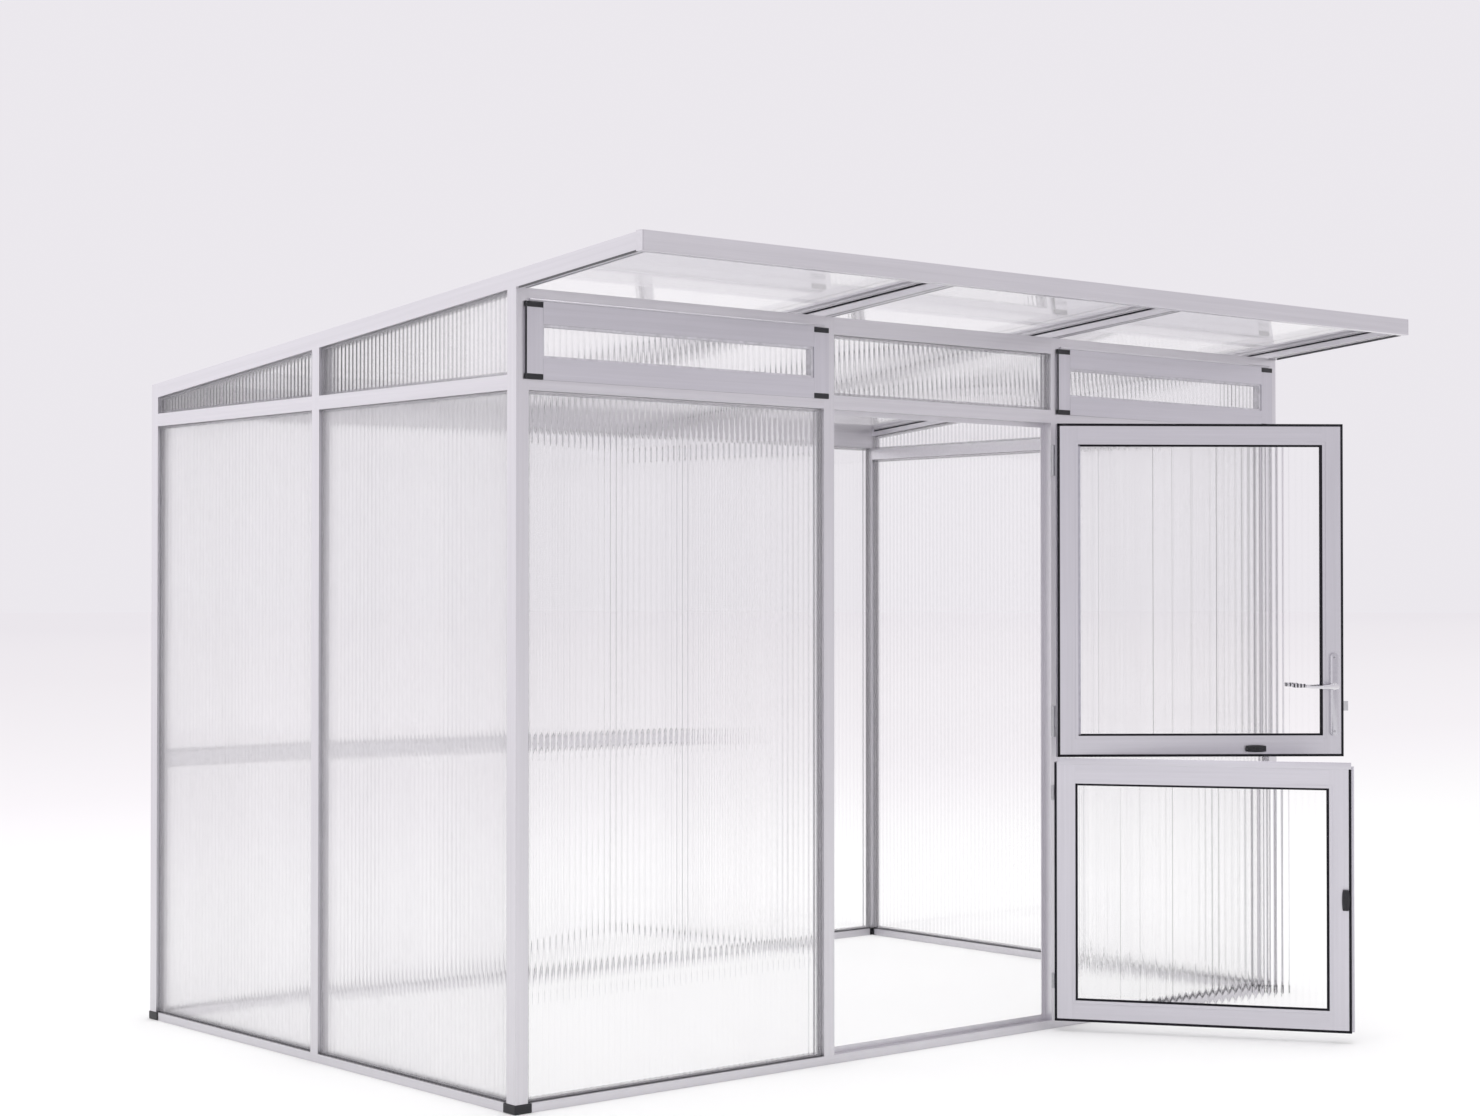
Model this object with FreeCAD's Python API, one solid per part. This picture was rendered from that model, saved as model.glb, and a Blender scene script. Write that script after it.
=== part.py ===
"""Lean-to greenhouse of aluminium bars and twin-wall sheet, with a split door and two vents.

Millimetres, +Z up. The origin is the middle of the door sill's underside. X runs to the
right along the front, Y runs in towards the low back wall. The roof falls towards the back.
Both door leaves are modelled open, as the building is shown.
"""

import FreeCAD, Part
import math
import os

V = FreeCAD.Vector

# Frame
POST = 40.0
WALL = 2.0
SIDE_BAY = 1042.0
DOOR_BAY = 917.0
DEPTH = 1990.0
SILL = 25.0
DOOR_HEAD = 1881.0
TRANSOM = 176.0
TOP_RAIL = 50.0
BACK_RAIL_LOW = 806.0
BEAM_RISE = 5.0
FOOT_REACH = 52.0
FOOT_PROUD = 3.0
SILL_SEAM = 17.0

MID_LOW = DOOR_HEAD
MID_HIGH = MID_LOW + POST
TOP_LOW = MID_HIGH + TRANSOM
TOP_HIGH = TOP_LOW + TOP_RAIL
BEAM_LOW = MID_HIGH + BEAM_RISE
WIDTH = 4 * POST + 2 * SIDE_BAY + DOOR_BAY
LEFT = -WIDTH / 2
RIGHT = WIDTH / 2
FRONT = -POST / 2
BACK = FRONT + DEPTH
SIDE_MID = FRONT + DEPTH / 2
JAMB = DOOR_BAY / 2

# Roof, with heights measured down from its sloping top line
SLOPE = 0.0892
RAFTER = 45.0
SHEET_TOP = 7.0
GROOVE = 12.0
OVERHANG = 532.0
FASCIA = 26.0
FASCIA_HEIGHT = 52.0
CAP = 3.0
EAVE = FRONT - OVERHANG
BARGE_SEAL = 5.0

# Sheets and their rubber
SHEET = 16.0
RIB_PITCH = 20.0
SKIN = 1.0
REVEAL = 8.0
LIP = 4.0
EDGE_RUBBER = 3.0
FACE_RUBBER = 9.0
EDGE_GAP = 1.0

# Door stops
STOP_WIDTH = 14.0
STOP_THICK = 3.0
STOP_DEPTH = 29.0
SILL_STOP = 16.0

# Door leaves, as distances from the hinge line: A along the leaf, B through it
HINGE_OUT = 8.0
HINGE_X = JAMB
HINGE_Y = FRONT - HINGE_OUT
UPPER_OPEN = 141.8
LOWER_OPEN = 124.1
NEAR_EDGE = 8.0
FREE_GAP = 8.0
FLANGE = 7.0
FLANGE_THICK = 4.0
FAR_EDGE = DOOR_BAY - FREE_GAP - FLANGE
OUTER_FACE = 4.0
INNER_FACE = 36.0
LEAF_GAP = 15.0
SILL_GAP = 6.0
HEAD_GAP = 4.0
LOWER_TOP = 829.0
LOWER_Z = (SILL + SILL_GAP, LOWER_TOP)
UPPER_Z = (LOWER_TOP + LEAF_GAP, DOOR_HEAD - HEAD_GAP)
MEMBER = 65.0
SEAL = 8.0
SEAL_THICK = 4.0
BEAD = 9.0
BEAD_GAP = 1.0
BEAD_DEPTH = 1.5
SHEET_IN = 8.0
LEAF_SHEET = (OUTER_FACE + SHEET_IN, OUTER_FACE + SHEET_IN + SHEET)

# Hinges
BARREL = 6.5
PIN = 3.0
PIN_GAP = 0.03
PLATE = 3.0
PLATE_REACH = 36.0
PLATE_START = 12.0
KNUCKLE_GAP = 0.5
UPPER_HINGE = 96.0
LOWER_HINGE = 46.0
UPPER_HINGE_INSET = (109.0, 113.0)
LOWER_HINGE_INSET = (118.0, 97.0)
SCREW = 2.0
SCREW_HEAD = 3.6
HEAD_THICK = 1.2
SCREW_LENGTH = 5.0

# Lever handle and latch
HANDLE_INSET = 31.0
HANDLE_A = FAR_EDGE - HANDLE_INSET
HANDLE_Z = 1062.0
COVER_BELOW = 154.0
COVER_ABOVE = 103.0
COVER_Z = (HANDLE_Z - COVER_BELOW, HANDLE_Z + COVER_ABOVE)
COVER_WIDE = 25.0
COVER_THICK = 8.0
SPINDLE = 4.0
SPINDLE_GAP = 0.05
NECK = 9.0
NECK_LONG = 18.0
LEVER_LONG = 140.0
LEVER_HIGH = 18.0
LEVER_THICK = 11.0
GRIP_LONG = 44.0
GRIP_PROUD = 1.0
LEVER_GAP = 0.3
CASE_REACH = 25.0
CASE_A = (HANDLE_A - CASE_REACH, FAR_EDGE - WALL)
CASE_B = (OUTER_FACE + WALL, INNER_FACE - SEAL_THICK - WALL)
CASE_BELOW = 104.0
CASE_ABOVE = 22.0
CASE_Z = (HANDLE_Z - CASE_BELOW, HANDLE_Z + CASE_ABOVE)
BOLT_BELOW = 77.0
BOLT_HIGH = 30.0
BOLT_Z = (HANDLE_Z - BOLT_BELOW, HANDLE_Z - BOLT_BELOW + BOLT_HIGH)
BOLT_IN = 7.0
BOLT_THICK = 10.0
BOLT_B = (CASE_B[0] + BOLT_IN, CASE_B[0] + BOLT_IN + BOLT_THICK)
BOLT_INSIDE = 26.0
BOLT_CATCH = 5.0
BOLT_TAIL = FAR_EDGE - BOLT_INSIDE
BOLT_TIP = FAR_EDGE + FLANGE + FREE_GAP + BOLT_CATCH
BOLT_TRAVEL = 15.0
BOLT_BEVEL = 13.0
BOLT_GAP = 0.3
STRIKE_REACH = 30.0
STRIKE_Z = (BOLT_Z[0] - STRIKE_REACH, BOLT_Z[1] + STRIKE_REACH)
STRIKE_MARGIN = 6.0
STRIKE_GAP = 2.0

# Turn buttons and the strip that the upper one hooks behind
BUTTON_LONG = 62.0
BUTTON_MID = 22.0
BUTTON_END = 16.0
BUTTON_RISE = 5.0
BUTTON_THICK = 9.0
BUTTON_B = (INNER_FACE + BUTTON_RISE, INNER_FACE + BUTTON_RISE + BUTTON_THICK)
BOSS = 8.0
BOSS_GAP = 0.1
BUTTON_PIN = 3.0
BUTTON_HEAD = 5.5
BUTTON_HEAD_THICK = 2.0
UPPER_BUTTON_INSET = 277.0
UPPER_BUTTON_RISE = 25.0
UPPER_BUTTON = (FAR_EDGE - UPPER_BUTTON_INSET, UPPER_Z[0] + UPPER_BUTTON_RISE)
LOWER_BUTTON_INSET = 17.0
LOWER_BUTTON_RISE = 399.0
LOWER_BUTTON = (FAR_EDGE - LOWER_BUTTON_INSET, LOWER_Z[0] + LOWER_BUTTON_RISE)
STRIP_INSET = 10.0
STRIP_FOOT = 7.0
STRIP_RISE = 13.5

# Vents
VENT_LAP = 15.0
VENT_LAP_LOW = 12.0
VENT_LAP_HIGH = 16.0
VENT_MEMBER = 58.0
VENT_FRONT = -6.0
VENT_BACK = 24.0
VENT_GAP = 3.0
FACE_GAP = 1.0
VENT_SHEET_IN = 3.0
VENT_SHEET = (VENT_SHEET_IN, VENT_SHEET_IN + SHEET)
VENT_CAP = 15.0
BEAD_R = 2.0
BEAD_CLEAR = 0.06
CHANNEL_R = 3.5
NECK_HALF = 0.7
NECK_ROOM = 0.3
AXIS_RISE = 4.0
AXIS_OUT = 3.5

nodes = {}


def box(x0, x1, y0, y1, z0, z1):
    """A block between two corners."""
    return Part.makeBox(x1 - x0, y1 - y0, z1 - z0, V(x0, y0, z0))


def bar(x0, x1, y0, y1, z0, z1, along, top=WALL):
    """A box section, open at both ends of the axis that it runs along."""
    dx, dy, dz = (0 if axis == along else WALL for axis in "xyz")
    top = 0 if along == "z" else top
    hollow = box(x0 + dx, x1 - dx, y0 + dy, y1 - dy, z0 + dz, z1 - top)
    return box(x0, x1, y0, y1, z0, z1).cut(hollow)


def cylinder(radius, base, direction, length):
    """A round bar from a base point."""
    return Part.makeCylinder(radius, length, base, direction)


def joined(shapes):
    """One solid out of touching shapes, with seams between flush faces removed."""
    return shapes[0].fuse(list(shapes[1:])).removeSplitter()


def mirrored(shape, normal=V(1, 0, 0), base=V(0, 0, 0)):
    """The shape's mirror image, across the building's middle plane by default."""
    return shape.mirror(base, normal)


def both_sides(shapes):
    """The shapes and their mirror images on the other side of the building."""
    return list(shapes) + [mirrored(shape) for shape in shapes]


def turned(shapes, angle):
    """The shapes swung about the door's hinge line from closed to an opening angle."""
    moved = [shape.copy() for shape in shapes]
    for shape in moved:
        shape.rotate(V(HINGE_X, HINGE_Y, 0), V(0, 0, 1), angle)
    return moved


def front_wall(u, depth, z):
    """A point on the front, with depth measured in from its outer face."""
    return V(u, FRONT + depth, z)


def side_wall(u, depth, z):
    """A point on the left side wall."""
    return V(LEFT + depth, u, z)


def back_wall(u, depth, z):
    """A point on the back wall."""
    return V(u, BACK - depth, z)


def leaf(a, b, z):
    """A point on a closed door leaf."""
    return V(HINGE_X - a, HINGE_Y + b, z)


def rectangle(u0, u1, z0, z1):
    """Corners of an upright rectangle, in order."""
    return [(u0, z0), (u1, z0), (u1, z1), (u0, z1)]


def inset(outline, margin):
    """The outline moved in by a margin on every side."""
    middle_u = sum(u for u, z in outline) / len(outline)
    middle_z = sum(z for u, z in outline) / len(outline)
    lines = []
    for (u0, z0), (u1, z1) in zip(outline, outline[1:] + outline[:1]):
        length = math.hypot(u1 - u0, z1 - z0)
        nu = (z1 - z0) / length
        nz = (u0 - u1) / length
        offset = nu * u0 + nz * z0
        inward = math.copysign(margin, nu * middle_u + nz * middle_z - offset)
        lines.append((nu, nz, offset + inward))
    corners = []
    for (a, b, c), (d, e, f) in zip(lines[-1:] + lines[:-1], lines):
        cross = a * e - b * d
        corners.append(((c * e - b * f) / cross, (a * f - c * d) / cross))
    return corners


def slab(wall, outline, d0, d1):
    """A plate with the given outline between two depths of a wall."""
    points = [wall(u, d0, z) for u, z in outline]
    face = Part.Face(Part.makePolygon(points + points[:1]))
    return face.extrude(wall(0, d1, 0) - wall(0, d0, 0))


def band(wall, outline, width, d0, d1):
    """A closed frame just inside an outline."""
    return slab(wall, outline, d0, d1).cut(slab(wall, inset(outline, width), d0, d1))


def flutes(count, pitch, start, low, high):
    """Hollows of a twin-wall sheet, as (across, thickness) corner pairs."""
    return [
        (start + SKIN + i * pitch, low + SKIN, start + (i + 1) * pitch, high - SKIN)
        for i in range(count)
    ]


def slanted(outline):
    """Whether an outline of two upright sides has a sloping top."""
    return len({round(z, 3) for u, z in outline}) > 2


def twin_wall(wall, outline, d0, d1):
    """A twin-wall sheet with upright flutes, cut to an outline."""
    across = [u for u, z in outline]
    heights = [z for u, z in outline]
    u0, u1 = min(across), max(across)
    z0, z1 = min(heights), max(heights)
    count = round((u1 - u0) / RIB_PITCH)
    pitch = (u1 - u0 - SKIN) / count
    corners = [(u0, d0, u1, d1)] + flutes(count, pitch, u0, d0, d1)
    wires = []
    for a0, b0, a1, b1 in corners:
        points = [wall(a0, b0, z0), wall(a1, b0, z0), wall(a1, b1, z0), wall(a0, b1, z0)]
        wires.append(Part.makePolygon(points + points[:1]))
    sheet = Part.makeFace(wires, "Part::FaceMakerBullseye").extrude(V(0, 0, z1 - z0))
    return sheet.common(slab(wall, outline, d0, d1)) if slanted(outline) else sheet


def rubber(wall, outline, sheet, face_rubber, lip):
    """A channel of rubber round a sheet's edge, with a lip over each face."""
    edge = band(wall, outline, EDGE_RUBBER, sheet[0], sheet[1])
    outer = band(wall, outline, face_rubber, sheet[0] - lip, sheet[0])
    inner = band(wall, outline, face_rubber, sheet[1], sheet[1] + lip)
    return joined([edge, outer, inner])


def glazing(wall, outline):
    """The rubber and the sheet that fill one opening of the building."""
    depth = (REVEAL + LIP, REVEAL + LIP + SHEET)
    gasket = rubber(wall, outline, depth, FACE_RUBBER, LIP)
    return gasket, twin_wall(wall, inset(outline, EDGE_RUBBER), *depth)


def roof_line(y):
    """Height of the roof's top line."""
    return TOP_HIGH + RAFTER - SLOPE * (y - FRONT)


def below_roof(shape, drop):
    """The shape cut off along a plane that lies under the roof's top line."""
    y0, y1 = EAVE - POST, BACK + POST
    outline = [(y0, roof_line(y0) - drop), (y1, roof_line(y1) - drop)]
    outline += [(y1, 2 * TOP_HIGH), (y0, 2 * TOP_HIGH)]
    points = [V(LEFT - POST, y, z) for y, z in outline]
    face = Part.Face(Part.makePolygon(points + points[:1]))
    return shape.cut(face.extrude(V(WIDTH + 2 * POST, 0, 0)))


def roof_bar(x, y0, y1, outlines):
    """A bar along the slope. The first outline is its section, the others its hollows."""
    wires = []
    for outline in outlines:
        points = [V(x + u, y0, roof_line(y0) - drop) for u, drop in outline]
        wires.append(Part.makePolygon(points + points[:1]))
    face = Part.makeFace(wires, "Part::FaceMakerBullseye")
    return face.extrude(V(0, y1 - y0, -SLOPE * (y1 - y0)))


def add(name, shapes):
    """Keep the solids of one sub-part."""
    nodes[name] = list(shapes)


def bays():
    """The front bays, left to right, between the faces of the uprights."""
    return [(LEFT + POST, -JAMB - POST), (-JAMB, JAMB), (JAMB + POST, RIGHT - POST)]


def side_bays():
    """The two bays of a side wall, front to back."""
    half = POST / 2
    return [(FRONT + POST, SIDE_MID - half), (SIDE_MID + half, BACK - POST)]


def uprights():
    """Corner posts, and the posts in the middle of the side and back walls."""
    corner = bar(LEFT, LEFT + POST, FRONT, FRONT + POST, SILL, TOP_HIGH, "z")
    add("front_corner_posts", both_sides([below_roof(corner, RAFTER)]))
    top = roof_line(BACK - POST)
    corner = bar(LEFT, LEFT + POST, BACK - POST, BACK, SILL, top, "z")
    add("back_corner_posts", both_sides([below_roof(corner, 0)]))
    half = POST / 2
    side = bar(LEFT, LEFT + POST, SIDE_MID - half, SIDE_MID + half, SILL, TOP_HIGH, "z")
    back = bar(JAMB, JAMB + POST, BACK - POST, BACK, SILL, BEAM_LOW, "z")
    add("wall_mid_posts", both_sides([below_roof(side, RAFTER), back]))


def door_posts():
    """Both door posts, and the strike plate that fills the left one's cut-out."""
    right = below_roof(bar(JAMB, JAMB + POST, FRONT, FRONT + POST, SILL, TOP_HIGH, "z"), RAFTER)
    y0 = HINGE_Y + BOLT_B[0] - STRIKE_MARGIN + STRIKE_GAP
    y1 = HINGE_Y + BOLT_B[1] + STRIKE_MARGIN + STRIKE_GAP
    plate = box(-JAMB - WALL, -JAMB, y0, y1, *STRIKE_Z)
    left = mirrored(right).cut(plate)
    slot = box(
        -JAMB - WALL,
        -JAMB,
        HINGE_Y + BOLT_B[0] - STRIKE_GAP,
        HINGE_Y + BOLT_B[1] + STRIKE_GAP,
        BOLT_Z[0] - STRIKE_GAP,
        BOLT_Z[1] + STRIKE_GAP,
    )
    return left, right, plate.cut(slot)


def base():
    """The bars that lie on the ground, and the feet at the corners."""
    half = JAMB - SILL_SEAM
    front = bar(LEFT + FOOT_REACH, -half, FRONT, FRONT + POST, 0, SILL, "x")
    add("front_base_rails", both_sides([front]))
    add("threshold", [bar(-half, half, FRONT, FRONT + POST, 0, SILL, "x")])
    side = bar(LEFT, LEFT + POST, FRONT + FOOT_REACH, BACK - FOOT_REACH, 0, SILL, "y")
    ends = LEFT + FOOT_REACH
    back = bar(ends, -ends, BACK - POST, BACK, 0, SILL, "x")
    add("wall_base_rails", both_sides([side]) + [back])
    x0, y0 = LEFT - FOOT_PROUD, FRONT - FOOT_PROUD
    foot = joined([
        box(x0, LEFT + FOOT_REACH, y0, FRONT + POST, 0, SILL),
        box(x0, LEFT + POST, y0, FRONT + FOOT_REACH, 0, SILL),
    ])
    back_foot = mirrored(foot, V(0, 1, 0), V(0, FRONT + DEPTH / 2, 0))
    add("corner_feet", both_sides([foot, back_foot]))


def rails():
    """The rails between the uprights, and the beam along the back eave."""
    left, middle, right = bays()
    y0, y1 = FRONT, FRONT + POST
    add("front_mid_rails", [bar(*bay, y0, y1, MID_LOW, MID_HIGH, "x") for bay in bays()])
    margin = WALL + SLOPE * POST
    tops = [bar(*bay, y0, y1, TOP_LOW, TOP_HIGH, "x", margin) for bay in bays()]
    add("front_top_rails", [below_roof(top, RAFTER) for top in tops])
    sides = [bar(LEFT, LEFT + POST, *bay, MID_LOW, MID_HIGH, "y") for bay in side_bays()]
    high = BACK_RAIL_LOW + POST
    backs = [bar(*bay, BACK - POST, BACK, BACK_RAIL_LOW, high, "x") for bay in (left, middle)]
    add("wall_mid_rails", both_sides(sides) + backs)
    top = roof_line(BACK - POST)
    beam = bar(LEFT + POST, RIGHT - POST, BACK - POST, BACK, BEAM_LOW, top, "x", margin)
    add("back_beam", [below_roof(beam, 0)])


def roof():
    """Side members, inner rafters, sheets and the fascia along the high edge."""
    y0, y1 = EAVE + FASCIA, BACK - POST
    sheet_low = SHEET_TOP + SHEET
    inner = POST - GROOVE
    chamber = rectangle(WALL, POST - WALL, sheet_low + WALL, RAFTER - WALL)
    right_side = [(POST, SHEET_TOP), (inner, SHEET_TOP), (inner, sheet_low), (POST, sheet_low)]
    left_side = [(POST - u, drop) for u, drop in reversed(right_side)]
    barge = [(0, 0), (POST, 0)] + right_side + [(POST, RAFTER), (0, RAFTER)]
    add("barges", both_sides([roof_bar(LEFT, y0, y1, [barge, chamber])]))
    add("rafters", both_sides([roof_bar(JAMB, y0, y1, [barge + left_side, chamber])]))
    sheets = []
    for x0, x1 in bays():
        width = x1 - x0 + 2 * (GROOVE - EDGE_GAP)
        count = round(width / RIB_PITCH)
        cells = flutes(count, (width - SKIN) / count, 0, SHEET_TOP, sheet_low)
        section = [rectangle(0, width, SHEET_TOP, sheet_low)]
        section += [rectangle(u0, u1, low, high) for u0, low, u1, high in cells]
        sheets.append(roof_bar(x0 - GROOVE + EDGE_GAP, y0, y1, section))
    add("roof_sheets", sheets)
    low, high = roof_line(EAVE) - FASCIA_HEIGHT, roof_line(EAVE)
    add("fascia", [bar(LEFT, RIGHT, EAVE, EAVE + FASCIA, low, high, "x")])
    add("fascia_end_caps", both_sides([box(LEFT - CAP, LEFT, EAVE, EAVE + FASCIA, low, high)]))
    strip = rectangle(0, 2 * WALL, RAFTER, RAFTER + BARGE_SEAL)
    return both_sides([roof_bar(LEFT, y0, FRONT, [strip])])


def walls(other_rubber):
    """Sheets and rubbers of the front, the sides and the back."""
    left, middle, right = bays()
    front = [glazing(front_wall, rectangle(*bay, SILL, MID_LOW)) for bay in (left, right)]
    front.append(glazing(front_wall, rectangle(*middle, MID_HIGH, TOP_LOW)))
    side = [glazing(side_wall, rectangle(*bay, SILL, MID_LOW)) for bay in side_bays()]
    for y0, y1 in side_bays():
        z0, z1 = roof_line(y0) - RAFTER, roof_line(y1) - RAFTER
        outline = [(y0, MID_HIGH), (y1, MID_HIGH), (y1, z1), (y0, z0)]
        side.append(glazing(side_wall, outline))
    high = BACK_RAIL_LOW + POST
    back = [glazing(back_wall, rectangle(*bay, SILL, BACK_RAIL_LOW)) for bay in (left, middle)]
    back += [glazing(back_wall, rectangle(*bay, high, BEAM_LOW)) for bay in (left, middle)]
    back.append(glazing(back_wall, rectangle(*right, SILL, BEAM_LOW)))
    add("front_sheets", [sheet for gasket, sheet in front])
    add("side_sheets", both_sides([sheet for gasket, sheet in side]))
    add("back_sheets", [sheet for gasket, sheet in back])
    gaskets = [gasket for gasket, sheet in front + back]
    gaskets += both_sides([gasket for gasket, sheet in side])
    add("wall_gaskets", gaskets + other_rubber)


def door_stops():
    """The lips that the leaves close against, at the jambs, the head and the sill."""
    y0, y1 = FRONT + STOP_DEPTH, FRONT + STOP_DEPTH + STOP_THICK
    inner = JAMB - STOP_WIDTH
    jambs = both_sides([box(inner, JAMB, y0, y1, SILL, MID_LOW)])
    head = box(-inner, inner, y0, y1, MID_LOW - STOP_WIDTH, MID_LOW)
    sill = box(-inner, inner, y0, y1, SILL, SILL + SILL_STOP)
    add("door_stops", jambs + [head, sill])


def leaf_box(a0, a1, b0, b1, z0, z1):
    """A block on a closed door leaf."""
    return slab(leaf, rectangle(a0, a1, z0, z1), b0, b1)


def leaf_frame(low, high, seal_top):
    """Stiles, rails, sheet and rubbers of one closed leaf."""
    outline = rectangle(NEAR_EDGE, FAR_EDGE, low, high)
    opening = inset(outline, MEMBER)
    seal = band(leaf, outline, SEAL, INNER_FACE - SEAL_THICK, INNER_FACE)
    if not seal_top:
        seal = seal.cut(leaf_box(0, FAR_EDGE, 0, INNER_FACE, high - SEAL, high))
    bead_line = inset(outline, MEMBER - BEAD - BEAD_GAP)
    groove = band(leaf, bead_line, BEAD_GAP, INNER_FACE - BEAD_DEPTH, INNER_FACE)
    (a0, z0), (a1, z1) = opening[0], opening[2]
    hollow = (OUTER_FACE + WALL, INNER_FACE - SEAL_THICK - WALL)

    def member(u0, u1, low_z, high_z, upright):
        du, dz = (WALL, 0) if upright else (0, WALL)
        solid = leaf_box(u0, u1, OUTER_FACE, INNER_FACE, low_z, high_z)
        solid = solid.cut(leaf_box(u0 + du, u1 - du, *hollow, low_z + dz, high_z - dz))
        return solid.cut(seal).cut(groove)

    flange_face = OUTER_FACE + FLANGE_THICK
    flange = leaf_box(FAR_EDGE, FAR_EDGE + FLANGE, OUTER_FACE, flange_face, low, high)
    stiles = [
        member(NEAR_EDGE, a0, low, high, True),
        joined([member(a1, FAR_EDGE, low, high, True), flange]),
    ]
    cross_rails = [member(a0, a1, low, z0, False), member(a0, a1, z1, high, False)]
    channel = rubber(leaf, opening, LEAF_SHEET, FACE_RUBBER, LIP + WALL)
    sheet = twin_wall(leaf, inset(opening, EDGE_RUBBER), *LEAF_SHEET)
    return stiles, cross_rails, sheet, channel, seal


def hinge(middle_z, height):
    """Post half, leaf half, pin and screws of one closed hinge."""
    z0, z1 = middle_z - height / 2, middle_z + height / 2
    third = height / 3
    axis, up = V(HINGE_X, HINGE_Y, 0), V(0, 0, 1)

    def barrel(radius, low, high):
        return cylinder(radius, axis + V(0, 0, low), up, high - low)

    room = barrel(BARREL + KNUCKLE_GAP, z0 + third - KNUCKLE_GAP, z1 - third + KNUCKLE_GAP)
    bore = barrel(PIN + PIN_GAP, z0, z1)
    fixed = box(HINGE_X, HINGE_X + PLATE_REACH, FRONT - PLATE, FRONT, z0, z1)
    fixed = joined([
        fixed.cut(room),
        barrel(BARREL, z0, z0 + third - KNUCKLE_GAP),
        barrel(BARREL, z1 - third + KNUCKLE_GAP, z1),
    ]).cut(bore)
    moving = leaf_box(0, PLATE_REACH + BARREL, OUTER_FACE - PLATE, OUTER_FACE, z0, z1)
    ends = [(z0, z0 + third), (z1 - third, z1)]
    for low, high in ends:
        moving = moving.cut(barrel(BARREL + KNUCKLE_GAP, low, high))
    moving = joined([moving, barrel(BARREL, z0 + third, z1 - third)])
    moving = moving.cut(barrel(PIN, z0, z1))
    pin = barrel(PIN, z0, z1)
    levels = [z0 + height / 6, z1 - height / 6]
    post_screws, leaf_screws = [], []
    for z in levels:
        at = V(HINGE_X + (PLATE_START + PLATE_REACH) / 2, FRONT - PLATE, z)
        post_screws.append(joined([
            cylinder(SCREW_HEAD, at - V(0, HEAD_THICK, 0), V(0, 1, 0), HEAD_THICK),
            cylinder(SCREW, at, V(0, 1, 0), SCREW_LENGTH),
        ]))
        at = leaf((PLATE_START + PLATE_REACH) / 2 + BARREL, OUTER_FACE - PLATE, z)
        leaf_screws.append(joined([
            cylinder(SCREW_HEAD, at - V(0, HEAD_THICK, 0), V(0, 1, 0), HEAD_THICK),
            cylinder(SCREW, at, V(0, 1, 0), SCREW_LENGTH),
        ]))
    return fixed, moving, pin, post_screws, leaf_screws


def hinge_set(prefix, span, insets, height, angle):
    """Both hinges of one leaf, and the screws that pass into the post and the stile."""
    fixed, moving, pins, post_screws, leaf_screws = [], [], [], [], []
    for z in (span[0] + insets[0], span[1] - insets[1]):
        one = hinge(z, height)
        fixed.append(one[0].cut(one[3][0]).cut(one[3][1]))
        moving.append(one[1].cut(one[4][0]).cut(one[4][1]))
        pins.append(one[2])
        post_screws += one[3]
        leaf_screws += one[4]
    add(prefix + "_hinge_leaf_plates", turned(moving, angle))
    add(prefix + "_hinge_pins", turned(pins, angle))
    add(prefix + "_hinge_screws", turned(leaf_screws, angle))
    return fixed, post_screws, leaf_screws


def button(centre, long_up):
    """A turn button and its pivot, on a closed leaf."""
    a, z = centre
    half, mid, end = BUTTON_LONG / 2, BUTTON_MID / 2, BUTTON_END / 2
    b0, b1 = BUTTON_B

    def edge(side):
        points = [(-half, side * end), (0, side * mid), (half, side * end)]
        if long_up:
            points = [(v, u) for u, v in points]
        return Part.Arc(*[leaf(a + u, b0, z + v) for u, v in points]).toShape()

    upper, lower = edge(1), edge(-1)
    ends = [
        Part.makeLine(upper.Vertexes[i].Point, lower.Vertexes[i].Point) for i in (0, -1)
    ]
    outline = Part.Wire(Part.__sortEdges__([upper, lower] + ends))
    through = V(0, 1, 0)
    body = Part.Face(outline).extrude(V(0, b1 - b0, 0))
    body = body.cut(cylinder(BUTTON_PIN + SPINDLE_GAP, leaf(a, b0, z), through, b1 - b0))
    pivot = joined([
        cylinder(BOSS, leaf(a, INNER_FACE, z), through, b0 - BOSS_GAP - INNER_FACE),
        cylinder(BUTTON_PIN, leaf(a, INNER_FACE, z), through, b1 + BOSS_GAP - INNER_FACE),
        cylinder(BUTTON_HEAD, leaf(a, b1 + BOSS_GAP, z), through, BUTTON_HEAD_THICK),
    ])
    return body, pivot


def cover_plate(b0, b1):
    """A long handle plate with round ends."""
    half = COVER_WIDE / 2
    low, high = COVER_Z[0] + half, COVER_Z[1] - half
    through = V(0, b1 - b0, 0)
    plate = joined([
        leaf_box(HANDLE_A - half, HANDLE_A + half, b0, b1, low, high),
        cylinder(half, leaf(HANDLE_A, b0, low), through, b1 - b0),
        cylinder(half, leaf(HANDLE_A, b0, high), through, b1 - b0),
    ])
    bore = cylinder(SPINDLE + SPINDLE_GAP, leaf(HANDLE_A, b0, HANDLE_Z), through, b1 - b0)
    return plate.cut(bore)


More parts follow.
